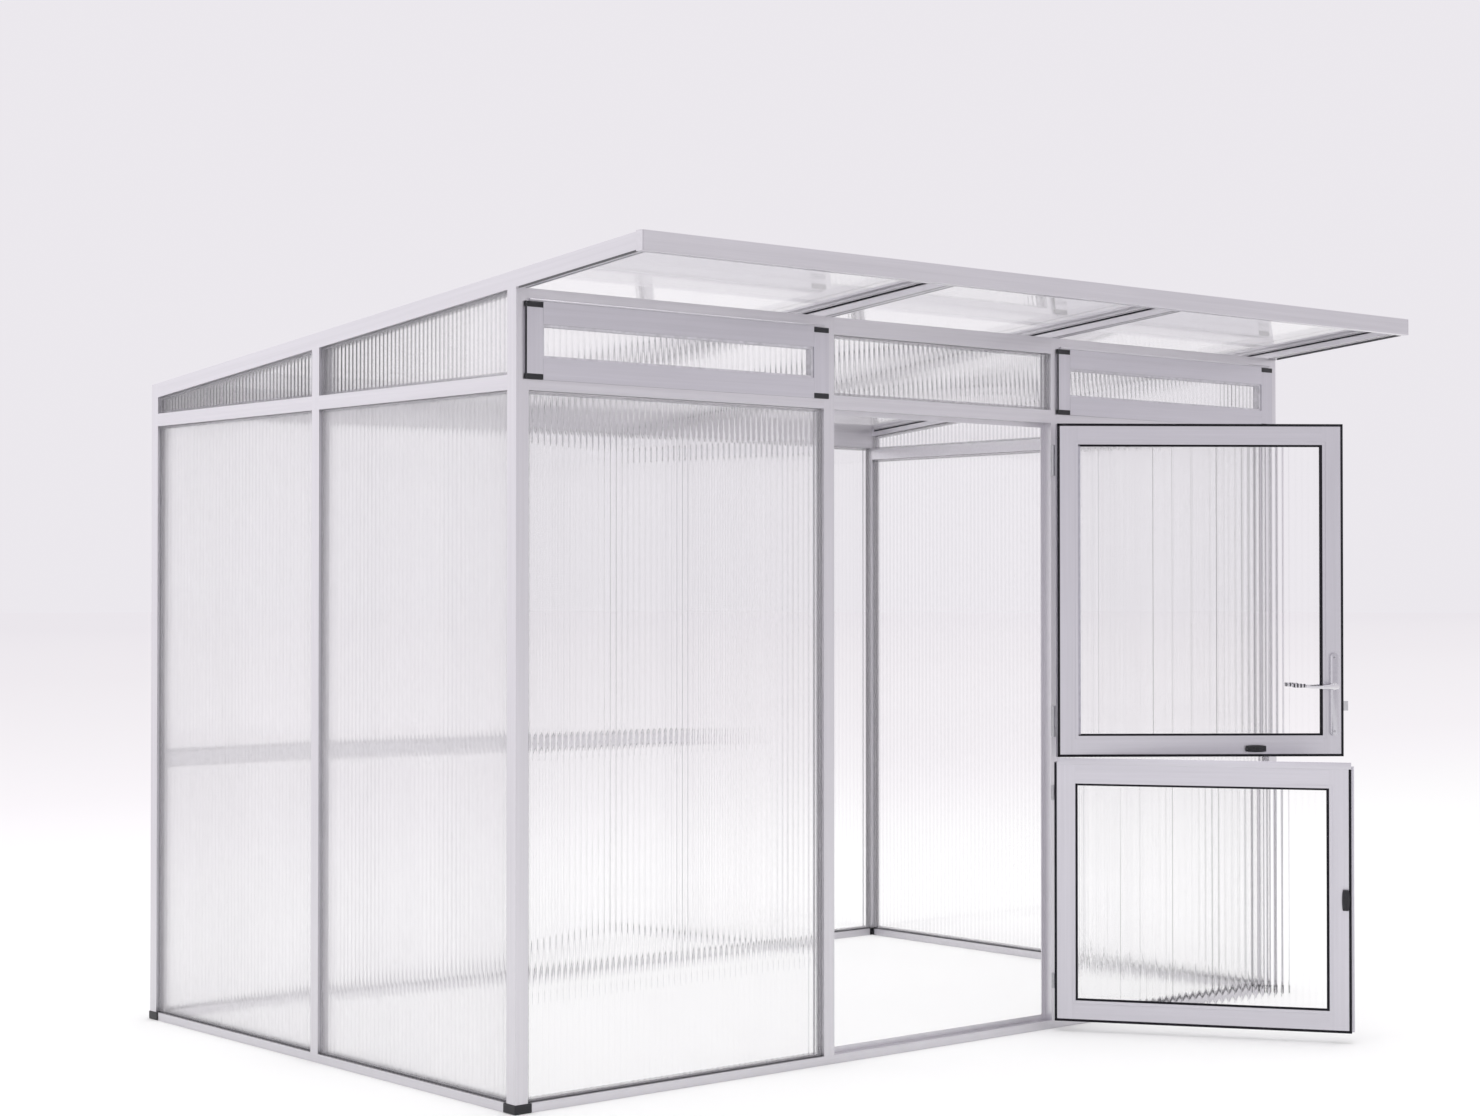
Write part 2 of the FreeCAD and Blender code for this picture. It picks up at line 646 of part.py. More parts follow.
def lever(b_face, outward):
    """Neck, arm and grip of one lever, outward from the face of its cover plate."""
    start = b_face + outward * LEVER_GAP
    neck_end = start + outward * NECK_LONG
    b0, b1 = sorted((neck_end, neck_end + outward * LEVER_THICK))
    half = LEVER_HIGH / 2
    tip = HANDLE_A - LEVER_LONG
    grip_start = tip + GRIP_LONG
    neck = cylinder(NECK, leaf(HANDLE_A, start, HANDLE_Z), V(0, outward, 0), NECK_LONG)
    arm = joined([
        cylinder(half, leaf(HANDLE_A, b0, HANDLE_Z), V(0, 1, 0), LEVER_THICK),
        leaf_box(grip_start, HANDLE_A, b0, b1, HANDLE_Z - half, HANDLE_Z + half),
    ])
    half += GRIP_PROUD
    b0, b1 = b0 - GRIP_PROUD, b1 + GRIP_PROUD
    grip = joined([
        leaf_box(tip + half, grip_start, b0, b1, HANDLE_Z - half, HANDLE_Z + half),
        cylinder(half, leaf(tip + half, b0, HANDLE_Z), V(0, 1, 0), b1 - b0),
    ])
    return neck, arm, grip


def lock(stile):
    """Lock case, cover plates, levers and bolt, and the stile with their passages."""
    travel = leaf_box(
        BOLT_TAIL - BOLT_TRAVEL - BOLT_GAP,
        FAR_EDGE + FLANGE,
        BOLT_B[0] - BOLT_GAP,
        BOLT_B[1] + BOLT_GAP,
        BOLT_Z[0] - BOLT_GAP,
        BOLT_Z[1] + BOLT_GAP,
    )
    along = V(0, 1, 0)
    case = leaf_box(*CASE_A, *CASE_B, *CASE_Z)
    bore = cylinder(SPINDLE + SPINDLE_GAP, leaf(HANDLE_A, CASE_B[0], HANDLE_Z), along, INNER_FACE)
    case = case.cut(travel).cut(bore)
    passage = cylinder(SPINDLE + STRIKE_GAP, leaf(HANDLE_A, 0, HANDLE_Z), along, INNER_FACE)
    stile = stile.cut(travel).cut(passage)
    plates = [
        cover_plate(OUTER_FACE - COVER_THICK, OUTER_FACE),
        cover_plate(INNER_FACE, INNER_FACE + COVER_THICK),
    ]
    inner_start = INNER_FACE + COVER_THICK
    outer_start = OUTER_FACE - COVER_THICK
    inner_neck, inner_arm, inner_grip = lever(inner_start, 1)
    outer_neck, outer_arm, outer_grip = lever(outer_start, -1)
    length = inner_start - outer_start + 2 * LEVER_GAP
    middle = cylinder(SPINDLE, leaf(HANDLE_A, outer_start - LEVER_GAP, HANDLE_Z), along, length)
    spindle = joined([middle, inner_neck, outer_neck])
    bolt = leaf_box(BOLT_TAIL, BOLT_TIP, *BOLT_B, *BOLT_Z)
    back = BOLT_B[1]
    bevel = [(BOLT_TIP - BOLT_BEVEL, back), (BOLT_TIP, back), (BOLT_TIP, back - BOLT_BEVEL / 2)]
    points = [leaf(a, b, BOLT_Z[0]) for a, b in bevel]
    wedge = Part.Face(Part.makePolygon(points + points[:1]))
    bolt = bolt.cut(wedge.extrude(V(0, 0, BOLT_Z[1] - BOLT_Z[0])))
    return stile, case, plates, [spindle, inner_arm, outer_arm], [inner_grip, outer_grip], bolt


def upper_leaf():
    """The upper leaf with its lock and turn button. Gives its hinges' fixed pieces."""
    stiles, cross_rails, sheet, channel, seal = leaf_frame(*UPPER_Z, True)
    hinges = hinge_set("upper", UPPER_Z, UPPER_HINGE_INSET, UPPER_HINGE, UPPER_OPEN)
    fixed, post_screws, leaf_screws = hinges
    for screw in leaf_screws:
        stiles[0] = stiles[0].cut(screw)
    stiles[1], case, plates, handle, grips, bolt = lock(stiles[1])
    body, pivot = button(UPPER_BUTTON, False)
    pieces = {
        "upper_leaf_stiles": stiles,
        "upper_leaf_rails": cross_rails,
        "upper_leaf_sheet": [sheet],
        "upper_leaf_seals": [channel, seal],
        "lock_case": [case],
        "handle_cover_plates": plates,
        "lever_handle": handle,
        "lever_grips": grips,
        "latch_bolt": [bolt],
        "upper_turn_button": [body],
        "upper_button_pivot": [pivot],
    }
    for name, shapes in pieces.items():
        add(name, turned(shapes, UPPER_OPEN))
    return fixed, post_screws


def lower_leaf():
    """The lower leaf with its meeting strip and turn button. Gives its fixed pieces."""
    stiles, cross_rails, sheet, channel, seal = leaf_frame(*LOWER_Z, False)
    hinges = hinge_set("lower", LOWER_Z, LOWER_HINGE_INSET, LOWER_HINGE, LOWER_OPEN)
    fixed, post_screws, leaf_screws = hinges
    for screw in leaf_screws:
        stiles[0] = stiles[0].cut(screw)
    top = LOWER_Z[1]
    outer = INNER_FACE + LIP
    section = [
        (INNER_FACE, top - STRIP_FOOT),
        (outer, top - STRIP_FOOT),
        (outer, top + STRIP_RISE),
        (INNER_FACE + EDGE_GAP, top + STRIP_RISE),
        (INNER_FACE + EDGE_GAP, top + EDGE_GAP),
        (INNER_FACE, top + EDGE_GAP),
    ]
    a0, a1 = NEAR_EDGE + STRIP_INSET, FAR_EDGE
    points = [leaf(a0, b, z) for b, z in section]
    strip = Part.Face(Part.makePolygon(points + points[:1])).extrude(V(a0 - a1, 0, 0))
    body, pivot = button(LOWER_BUTTON, True)
    pieces = {
        "lower_leaf_stiles": stiles,
        "lower_leaf_rails": cross_rails,
        "lower_leaf_sheet": [sheet],
        "lower_leaf_seals": [channel, seal],
        "meeting_strip": [strip],
        "lower_turn_button": [body],
        "lower_button_pivot": [pivot],
    }
    for name, shapes in pieces.items():
        add(name, turned(shapes, LOWER_OPEN))
    return fixed, post_screws


def vent(x0, x1):
    """Stiles, rails, caps, sheet, seal and hinge channel of the vent in one bay."""
    low, high = MID_HIGH - VENT_LAP_LOW, TOP_LOW + VENT_LAP_HIGH
    outline = rectangle(x0 - VENT_LAP, x1 + VENT_LAP, low, high)
    opening = inset(outline, VENT_MEMBER)
    inner = rectangle(x0 + VENT_GAP, x1 - VENT_GAP, MID_HIGH + VENT_GAP, TOP_LOW - VENT_GAP)
    (a0, z0), (a1, z1) = opening[0], opening[2]
    (i0, j0), (i1, j1) = inner[0], inner[2]
    cap_low, cap_high = low + VENT_CAP, high - VENT_CAP

    def member(face, core, upright):
        core_box = slab(front_wall, rectangle(*core), -FACE_GAP, VENT_BACK)
        u0, u1, v0, v1 = core
        du, dz = (WALL, 0) if upright else (0, WALL)
        hollow = rectangle(u0 + du, u1 - du, v0 + dz, v1 - dz)
        solid = joined([slab(front_wall, rectangle(*face), VENT_FRONT, -FACE_GAP), core_box])
        return solid.cut(slab(front_wall, hollow, WALL, VENT_BACK - WALL))

    stiles = [
        member((x0 - VENT_LAP, a0, cap_low, cap_high), (i0, a0, j0, j1), True),
        member((a1, x1 + VENT_LAP, cap_low, cap_high), (a1, i1, j0, j1), True),
    ]
    axis_y, axis_z = FRONT - AXIS_OUT, high + AXIS_RISE
    axis = V(x0 + EDGE_GAP, axis_y, axis_z)
    length = x1 - x0 - 2 * EDGE_GAP
    bead = cylinder(BEAD_R, axis, V(1, 0, 0), length)
    neck = box(a0, a1, axis_y - NECK_HALF, axis_y + NECK_HALF, high, axis_z)
    top_rail = member((a0, a1, z1, high), (a0, a1, z1, j1), False)
    cross_rails = [
        member((a0, a1, low, z0), (a0, a1, j0, z0), False),
        joined([top_rail, neck, bead]),
    ]
    caps = []
    for u0, u1 in ((x0 - VENT_LAP, a0), (a1, x1 + VENT_LAP)):
        for v0, v1 in ((low, cap_low), (cap_high, high)):
            caps.append(slab(front_wall, rectangle(u0, u1, v0, v1), VENT_FRONT, -FACE_GAP))
    channel = rubber(front_wall, opening, VENT_SHEET, 2 * EDGE_RUBBER, LIP)
    sheet = twin_wall(front_wall, inset(opening, EDGE_RUBBER), *VENT_SHEET)
    hook = joined([
        cylinder(CHANNEL_R, V(x0, axis_y, axis_z), V(1, 0, 0), x1 - x0),
        box(x0, x1, axis_y, FRONT, axis_z - BEAD_R, axis_z + CHANNEL_R),
    ])
    hook = hook.cut(cylinder(BEAD_R + BEAD_CLEAR, V(x0, axis_y, axis_z), V(1, 0, 0), x1 - x0))
    edge = NECK_HALF + NECK_ROOM
    mouth = [(edge, 0), (edge, -AXIS_RISE), (-AXIS_RISE, -AXIS_RISE), (-AXIS_RISE, 0)]
    points = [V(x0, axis_y + y, axis_z + z) for y, z in mouth]
    hook = hook.cut(Part.Face(Part.makePolygon(points + points[:1])).extrude(V(x1 - x0, 0, 0)))
    return stiles, cross_rails, caps, sheet, channel, hook


def vents():
    """Both vents, and the channels that they hang from."""
    left, middle, right = bays()
    hooks = []
    for prefix, bay in (("left", left), ("right", right)):
        stiles, cross_rails, caps, sheet, channel, hook = vent(*bay)
        add(prefix + "_vent_stiles", stiles)
        add(prefix + "_vent_rails", cross_rails)
        add(prefix + "_vent_caps", caps)
        add(prefix + "_vent_sheet", [sheet])
        add(prefix + "_vent_seal", [channel])
        hooks.append(hook)
    add("vent_hinge_channels", hooks)


def export():
    """Write one file for each sub-part."""
    os.makedirs("parts", exist_ok=True)
    for name, shapes in nodes.items():
        shape = shapes[0] if len(shapes) == 1 else Part.makeCompound(shapes)
        shape.exportStep("parts/" + name + ".step")


def door():
    """Both leaves, and the posts that they hang on and shut against."""
    upper_plates, upper_screws = upper_leaf()
    lower_plates, lower_screws = lower_leaf()
    add("hinge_post_plates", upper_plates + lower_plates)
    add("hinge_post_screws", upper_screws + lower_screws)
    left, right, strike = door_posts()
    for screw in upper_screws + lower_screws:
        right = right.cut(screw)
    add("door_posts", [left, right])
    add("strike_plate", [strike])


uprights()
base()
rails()
walls(roof())
door_stops()
door()
vents()
export()
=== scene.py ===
"""Lean-to greenhouse: the finishes, fine fittings, studio and camera round its fixed frame.

Metres, +Z up, in the same frame as the construction: the origin is the middle of the door
sill's underside, X runs to the right along the front and Y in towards the low back wall.
"""

import logging
import math
from dataclasses import dataclass
from enum import Enum
from typing import Callable, Iterable, Optional, Sequence, Union

import bmesh
import bpy
from mathutils import Matrix, Vector


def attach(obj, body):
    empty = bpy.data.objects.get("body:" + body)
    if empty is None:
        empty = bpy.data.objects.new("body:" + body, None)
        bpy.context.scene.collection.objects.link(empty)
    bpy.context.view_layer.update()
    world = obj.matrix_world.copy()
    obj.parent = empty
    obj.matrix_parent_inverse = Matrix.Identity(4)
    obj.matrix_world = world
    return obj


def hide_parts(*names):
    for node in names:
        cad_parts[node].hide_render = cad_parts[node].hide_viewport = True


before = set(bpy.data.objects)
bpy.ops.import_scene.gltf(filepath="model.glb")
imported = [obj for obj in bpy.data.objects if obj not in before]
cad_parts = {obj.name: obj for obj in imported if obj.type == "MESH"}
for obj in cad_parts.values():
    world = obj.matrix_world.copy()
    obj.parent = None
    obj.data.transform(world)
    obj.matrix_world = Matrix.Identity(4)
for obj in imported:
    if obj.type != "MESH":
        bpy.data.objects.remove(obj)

log = logging.getLogger("greenhouse")

Colour = tuple[float, float, float]
Value = Union[float, Sequence[float], "Socket"]
Test = Callable[[Vector, Vector], bool]


class Run(Enum):
    """The way that a bar's drawing lines run."""

    ALONG_FRONT = "x"
    ALONG_SIDE = "y"
    UPRIGHT = "z"
    ALONG_WALLS = "x and y"
    DOOR_FRAME = "x and z"


class Opening(Enum):
    """How far each door leaf stands open, in degrees."""

    UPPER = 141.8
    LOWER = 124.1

    @property
    def way(self) -> tuple[float, float, float]:
        """Way from the leaf's hinge line to its free edge."""
        turn = math.radians(self.value)
        return (-math.cos(turn), -math.sin(turn), 0.0)


# Sizes and places of the construction that finishes and fittings follow.
ROOF_FALL = 0.0892
SIDE_WALL_FROM = 1.55
SIDE_RAIL = 1.9
JAMB = 0.4585
STOP_LIP = 0.014
DOORWAY_RIGHT = 0.47
HINGE = Vector((JAMB, -0.028, 0.0))

# Directions, colours and kinds of ray that several pieces share.
ACROSS_FRONT = (1.0, 0.0, 0.0)
ACROSS_SIDE = (0.0, 1.0, 0.0)
WHITE = (1.0, 1.0, 1.0, 1.0)
CLEAR_RUBBER = (0.42, 0.41, 0.44)
VIEW_RAYS = ("Is Camera Ray", "Is Glossy Ray", "Is Transmission Ray")

# Places closer than this count as one.
TOUCH = 1e-5


def toned(colour: Colour, by: float) -> Colour:
    """A colour made lighter or darker, up to white."""
    return tuple(min(1.0, c * by) for c in colour)


class Socket:
    """A shader output whose arithmetic adds Math nodes."""

    def __init__(self, shader: "Shader", output: bpy.types.NodeSocket) -> None:
        """Wrap one output of a material's node tree."""
        self.shader = shader
        self.output = output

    def _math(self, operation: str, *values: Value) -> "Socket":
        """Add a Math node of this operation on the given values."""
        settings = {"operation": operation}
        return self.shader.node("ShaderNodeMath", settings, dict(enumerate(values)))

    def __add__(self, other: Value) -> "Socket":
        """Sum."""
        return self._math("ADD", self, other)

    def __radd__(self, other: Value) -> "Socket":
        """Sum, reflected."""
        return self._math("ADD", other, self)

    def __sub__(self, other: Value) -> "Socket":
        """Difference."""
        return self._math("SUBTRACT", self, other)

    def __rsub__(self, other: Value) -> "Socket":
        """Difference, reflected."""
        return self._math("SUBTRACT", other, self)

    def __mul__(self, other: Value) -> "Socket":
        """Product."""
        return self._math("MULTIPLY", self, other)

    def __rmul__(self, other: Value) -> "Socket":
        """Product, reflected."""
        return self._math("MULTIPLY", other, self)

    def __truediv__(self, other: Value) -> "Socket":
        """Quotient."""
        return self._math("DIVIDE", self, other)

    def __gt__(self, other: Value) -> "Socket":
        """1 where this is the larger, otherwise 0."""
        return self._math("GREATER_THAN", self, other)

    def __lt__(self, other: Value) -> "Socket":
        """1 where this is the smaller, otherwise 0."""
        return self._math("LESS_THAN", self, other)

    def size(self) -> "Socket":
        """The value without its sign."""
        return self._math("ABSOLUTE", self)

    def larger(self, other: Value) -> "Socket":
        """The larger of this and another value."""
        return self._math("MAXIMUM", self, other)

    def sine(self) -> "Socket":
        """Sine of the value in radians."""
        return self._math("SINE", self)

    def clamped(self) -> "Socket":
        """The value held between 0 and 1."""
        return self.shader.node("ShaderNodeClamp", {}, {"Value": self})


class Shader:
    """A node tree being filled."""

    def __init__(self, tree: bpy.types.NodeTree) -> None:
        """Start from an empty tree."""
        self.tree = tree
        tree.nodes.clear()

    def node(
        self,
        kind: str,
        settings: Optional[dict] = None,
        values: Optional[dict] = None,
        output: Union[int, str] = 0,
    ) -> Socket:
        """Add a node.

        Args:
            kind: Blender's name of the node type.
            settings: properties of the node, set before its sockets. A ramp's stops
                are (position, colour) pairs under the key "stops".
            values: numbers, vectors or links for its sockets, by name or place.
            output: name or place of the output to give.

        Returns:
            The chosen output.
        """
        made = self.tree.nodes.new(kind)
        for name, value in (settings or {}).items():
            if name == "stops":
                self._stops(made.color_ramp, value)
            else:
                setattr(made, name, value)
        for name, value in (values or {}).items():
            if isinstance(value, Socket):
                self.tree.links.new(value.output, made.inputs[name])
            else:
                made.inputs[name].default_value = value
        return Socket(self, made.outputs[output])

    @staticmethod
    def _stops(ramp: bpy.types.ColorRamp, stops: Sequence[tuple]) -> None:
        """Give a colour ramp its stops.

        Args:
            ramp: the ramp, which has two stops to start with.
            stops: position and colour of each stop.
        """
        while len(ramp.elements) < len(stops):
            ramp.elements.new(0.5)
        for element, (position, colour) in zip(ramp.elements, stops):
            element.position = position
            element.color = (*colour, 1.0)

    def place(self) -> Socket:
        """Place on the piece, in metres of the frame."""
        return self.node("ShaderNodeTexCoord", output="Object")

    def parts(self, vector: Socket) -> tuple[Socket, Socket, Socket]:
        """The three numbers of a vector."""
        split = self.node("ShaderNodeSeparateXYZ", {}, {0: vector}).output.node
        return tuple(Socket(self, split.outputs[i]) for i in range(3))

    def vector(self, x: Value, y: Value, z: Value) -> Socket:
        """A vector of three numbers."""
        return self.node("ShaderNodeCombineXYZ", {}, {0: x, 1: y, 2: z})

    def vector_math(self, operation: str, values: dict, output: str = "Vector") -> Socket:
        """Add a Vector Math node of this operation on the given values."""
        return self.node("ShaderNodeVectorMath", {"operation": operation}, values, output)

    def along(self, vector: Value, direction: Sequence[float]) -> Socket:
        """How far a vector reaches along a direction."""
        return self.vector_math("DOT_PRODUCT", {0: vector, 1: direction}, "Value")

    def length(self, vector: Socket) -> Socket:
        """Length of a vector."""
        return self.vector_math("LENGTH", {0: vector}, "Value")

    def choose(self, mask: Value, low: Value, high: Value) -> Socket:
        """One number where the mask is 0 and another where it is 1."""
        return self.node("ShaderNodeMix", {"data_type": "FLOAT"}, {0: mask, 2: low, 3: high})

    def blend(self, mask: Value, low: Value, high: Value) -> Socket:
        """One colour where the mask is 0 and another where it is 1.

        Args:
            mask: a number between 0 and 1.
            low: the colour at 0.
            high: the colour at 1.

        Returns:
            The mixed colour.
        """
        ends = [v if isinstance(v, Socket) else (*v, 1.0) for v in (low, high)]
        values = {"Factor": mask, 6: ends[0], 7: ends[1]}
        return self.node("ShaderNodeMix", {"data_type": "RGBA"}, values, 2)

    def noise(self, place: Socket, scale: float, detail: float = 2.0) -> Socket:
        """Cloudy noise between 0 and 1."""
        values = {"Vector": place, "Scale": scale, "Detail": detail}
        return self.node("ShaderNodeTexNoise", {}, values, "Fac")

    def bump(self, height: Socket, depth: float) -> Socket:
        """A normal that follows a height of the given depth in metres."""
        values = {"Strength": 1.0, "Distance": depth, "Height": height}
        return self.node("ShaderNodeBump", {}, values)

    def principled(self, **values: Value) -> Socket:
        """A Principled shader.

        Args:
            **values: what goes into its sockets, by their names with _ for spaces.

        Returns:
            The shader.
        """
        named = {name.replace("_", " "): value for name, value in values.items()}
        if isinstance(named.get("Base Color"), tuple):
            named["Base Color"] = (*named["Base Color"], 1.0)
        return self.node("ShaderNodeBsdfPrincipled", {}, named)

    def mix(self, share: Value, one: Socket, other: Socket) -> Socket:
        """One shader where the share is 0 and another where it is 1."""
        return self.node("ShaderNodeMixShader", {}, {0: share, 1: one, 2: other})

    def clear(self, tint: Sequence[float]) -> Socket:
        """A shader that lets light straight through, tinted."""
        return self.node("ShaderNodeBsdfTransparent", {}, {"Color": (*tint, 1.0)})

    def rays(self, *kinds: str) -> Socket:
        """Tell some kinds of ray from the others.

        Args:
            *kinds: names of the Light Path node's outputs.

        Returns:
            1 for these kinds of ray, otherwise 0.
        """
        path = self.node("ShaderNodeLightPath").output.node
        first, *others = [Socket(self, path.outputs[kind]) for kind in kinds]
        return sum(others, first).clamped()

    def finish(self, surface: Socket, kind: str = "ShaderNodeOutputMaterial") -> None:
        """Link a shader to a new output node of the given type."""
        made = self.tree.nodes.new(kind)
        self.tree.links.new(surface.output, made.inputs["Surface"])


def grain_place(shader: Shader, run: Union[Run, Opening]) -> Socket:
    """Place on a bar, pressed together along the way that its drawing lines run.

    Args:
        shader: the material being filled.
        run: the bar's direction, or the door leaf that a rail belongs to.

    Returns:
        A vector for noise that makes lines along the bar.
    """
    place = shader.place()
    x, y, z = shader.parts(place)
    draw = 0.012
    if isinstance(run, Opening):
        across = (run.way[1], -run.way[0], 0.0)
        along = shader.along(place, run.way) * draw
        return shader.vector(along, shader.along(place, across), z)
    if run is Run.ALONG_FRONT:
        return shader.vector(x * draw, y, z)
    if run is Run.ALONG_SIDE:
        return shader.vector(x, y * draw, z + y * ROOF_FALL)
    if run is Run.UPRIGHT:
        return shader.vector(x, y, z * draw)
    if run is Run.ALONG_WALLS:
        side = x.size() > SIDE_WALL_FROM
        x = shader.choose(side, x * draw, x)
        return shader.vector(x, shader.choose(side, y, y * draw), z)
    jamb = x.size() > JAMB - STOP_LIP
    x = shader.choose(jamb, x * draw, x)
    return shader.vector(x, y, shader.choose(jamb, z, z * draw))


class Bench:
    """Edit-mode modelling, as by hand."""

    CREASE = 35.0
    SOFT_CREASE = 20.0
    WELD = 0.00002

    @staticmethod
    def only(piece: bpy.types.Object) -> None:
        """Make this the one selected object.

        Args:
            piece: the object.
        """
        bpy.ops.object.select_all(action="DESELECT")
        piece.select_set(True)
        bpy.context.view_layer.objects.active = piece

    @staticmethod
    def block(name: str, low: Sequence[float], high: Sequence[float]) -> bpy.types.Object:
        """Start from a block between two corners.

        Args:
            name: the piece's name.
            low: its lowest corner.
            high: its highest corner.

        Returns:
            The block, with its size and place in its mesh.
        """
        middle = [(a + b) / 2 for a, b in zip(low, high)]
        bpy.ops.object.select_all(action="DESELECT")
        bpy.ops.mesh.primitive_cube_add(size=1.0, location=middle)
        piece = bpy.context.active_object
        piece.name = name
        piece.scale = [b - a for a, b in zip(low, high)]
        bpy.ops.object.transform_apply(location=True, rotation=True, scale=True)
        return piece

    @staticmethod
    def rod(
        name: str, radius: float, start: Sequence[float], end: Sequence[float], sides: int = 32
    ) -> bpy.types.Object:
        """Start from a round bar between two points.

        Args:
            name: the piece's name.
            radius: the bar's radius.
            start: middle of one end.
            end: middle of the other end.
            sides: number of its faces.

        Returns:
            The bar, with its size and place in its mesh.
        """
        first, last = Vector(start), Vector(end)
        turn = (last - first).to_track_quat("Z", "Y").to_euler()
        bpy.ops.object.select_all(action="DESELECT")
        bpy.ops.mesh.primitive_cylinder_add(
            vertices=sides,
            radius=radius,
            depth=(last - first).length,
            location=(first + last) / 2,
            rotation=turn,
        )
        piece = bpy.context.active_object
        piece.name = name
        bpy.ops.object.transform_apply(location=True, rotation=True, scale=True)
        return piece

    @classmethod
    def _pick(cls, piece: bpy.types.Object, kind: str, test: Callable[[object], bool]) -> None:
        """Go into edit mode with only the faces, or only the edges, that pass a test.

        Args:
            piece: the piece to work on.
            kind: FACE or EDGE.
            test: takes one face or edge.
        """
        cls.only(piece)
        bpy.ops.object.mode_set(mode="EDIT")
        bpy.ops.mesh.select_mode(type=kind)
        bpy.ops.mesh.select_all(action="DESELECT")
        mesh = bmesh.from_edit_mesh(piece.data)
        for part in mesh.faces if kind == "FACE" else mesh.edges:
            part.select_set(test(part))
        bmesh.update_edit_mesh(piece.data)

    @classmethod
    def pick_faces(cls, piece: bpy.types.Object, test: Test) -> None:
        """Edit a piece with the faces whose middle and normal pass a test."""
        cls._pick(piece, "FACE", lambda f: test(f.calc_center_median(), f.normal))

    @classmethod
    def pick_edges(cls, piece: bpy.types.Object, test: Test) -> None:
        """Edit a piece with the edges whose two ends pass a test."""
        cls._pick(piece, "EDGE", lambda e: test(e.verts[0].co, e.verts[1].co))

    @staticmethod
    def leave() -> None:
        """Go back to object mode."""
        bpy.ops.object.mode_set(mode="OBJECT")

    @classmethod
    def grow(
        cls,
        piece: bpy.types.Object,
        end: Test,
        steps: Sequence[tuple[Sequence[float], Sequence[float]]],
    ) -> None:
        """Draw one end out in steps.

        Args:
            piece: the piece to work on.
            end: test for the face that is drawn out.
            steps: for each step, the way to move and the scale at its far end.
        """
        cls.pick_faces(piece, end)
        for move, scale in steps:
            bpy.ops.mesh.extrude_region_move(TRANSFORM_OT_translate={"value": tuple(move)})
            mesh = bmesh.from_edit_mesh(piece.data)
            points = [v.co for v in mesh.verts if v.select]
            middle = sum(points, Vector()) / len(points)
            bpy.ops.transform.resize(value=tuple(scale), center_override=tuple(middle))
        cls.leave()

    @classmethod
    def round_edges(
        cls,
        piece: bpy.types.Object,
        width: float,
        segments: int = 3,
        test: Test = lambda a, b: True,
    ) -> None:
        """Bevel the edges that pass a test.

        Args:
            piece: the piece to work on.
            width: width of the bevel.
            segments: faces across it.
            test: takes the two ends of an edge; without it all edges are bevelled.
        """
        cls.pick_edges(piece, test)
        bpy.ops.mesh.bevel(offset=width, segments=segments, affect="EDGES", clamp_overlap=True)
        cls.leave()

    @classmethod
    def modify(cls, piece: bpy.types.Object, kind: str, **settings: object) -> None:
        """Add a modifier and apply it.

        Args:
            piece: the piece to work on.
            kind: Blender's name of the modifier's type.
            **settings: the modifier's properties.
        """
        cls.only(piece)
        modifier = piece.modifiers.new(kind.lower(), kind)
        for name, value in settings.items():
            setattr(modifier, name, value)
        bpy.ops.object.modifier_apply(modifier=modifier.name)

    @classmethod
    def blunt(
        cls, piece: bpy.types.Object, width: float, segments: int = 3, angle: float = 0.9
    ) -> None:
        """Bevel each edge that turns by more than an angle in radians."""
        settings = {"limit_method": "ANGLE", "angle_limit": angle}
        cls.modify(piece, "BEVEL", width=width, segments=segments, **settings)

    @classmethod
    def merge(cls, name: str, pieces: Sequence[bpy.types.Object]) -> bpy.types.Object:
        """Make one object of several.

        Args:
            name: the new name.
            pieces: what goes into it.

        Returns:
            The joined object.
        """
        bpy.ops.object.select_all(action="DESELECT")
        for piece in pieces:
            piece.select_set(True)
        bpy.context.view_layer.objects.active = pieces[0]
        bpy.ops.object.join()
        pieces[0].name = name
        return pieces[0]

    @classmethod
    def copied(cls, piece: bpy.types.Object, move: Sequence[float]) -> bpy.types.Object:
        """Copy a piece, mesh and all, and move the copy's mesh.

        Args:
            piece: the piece.
            move: how far and which way the copy moves.

        Returns:
            The copy.
        """
        twin = bpy.data.objects.new(piece.name, piece.data.copy())
        bpy.context.scene.collection.objects.link(twin)
        return cls.place(twin, Matrix.Translation(move))

    @classmethod
    def place(cls, piece: bpy.types.Object, matrix: Matrix) -> bpy.types.Object:
        """Move a piece and keep its new place in its mesh.

        Args:
            piece: the piece.
            matrix: its place in the frame.

        Returns:
            The same piece.
        """
        cls.only(piece)
        piece.matrix_world = matrix
        bpy.ops.object.transform_apply(location=True, rotation=True, scale=True)
        return piece

    @classmethod
    def complete(
        cls,
        piece: bpy.types.Object,
        body: str,
        finish: bpy.types.Material,
        slot: str,
        replaced: Sequence[str] = (),
        crease: float = CREASE,
    ) -> None:
        """slot: the record's material slot for the piece; not used.
            replaced: CAD nodes that it stands for.
            crease: angle in degrees past which an edge stays sharp.
        """
        cls.only(piece)
        bpy.ops.object.shade_smooth_by_angle(angle=math.radians(crease))
        piece.data.materials.clear()
        piece.data.materials.append(finish)
        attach(piece, body)
        if replaced:
            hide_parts(*replaced)
        log.info("made %s on %s", piece.name, body)

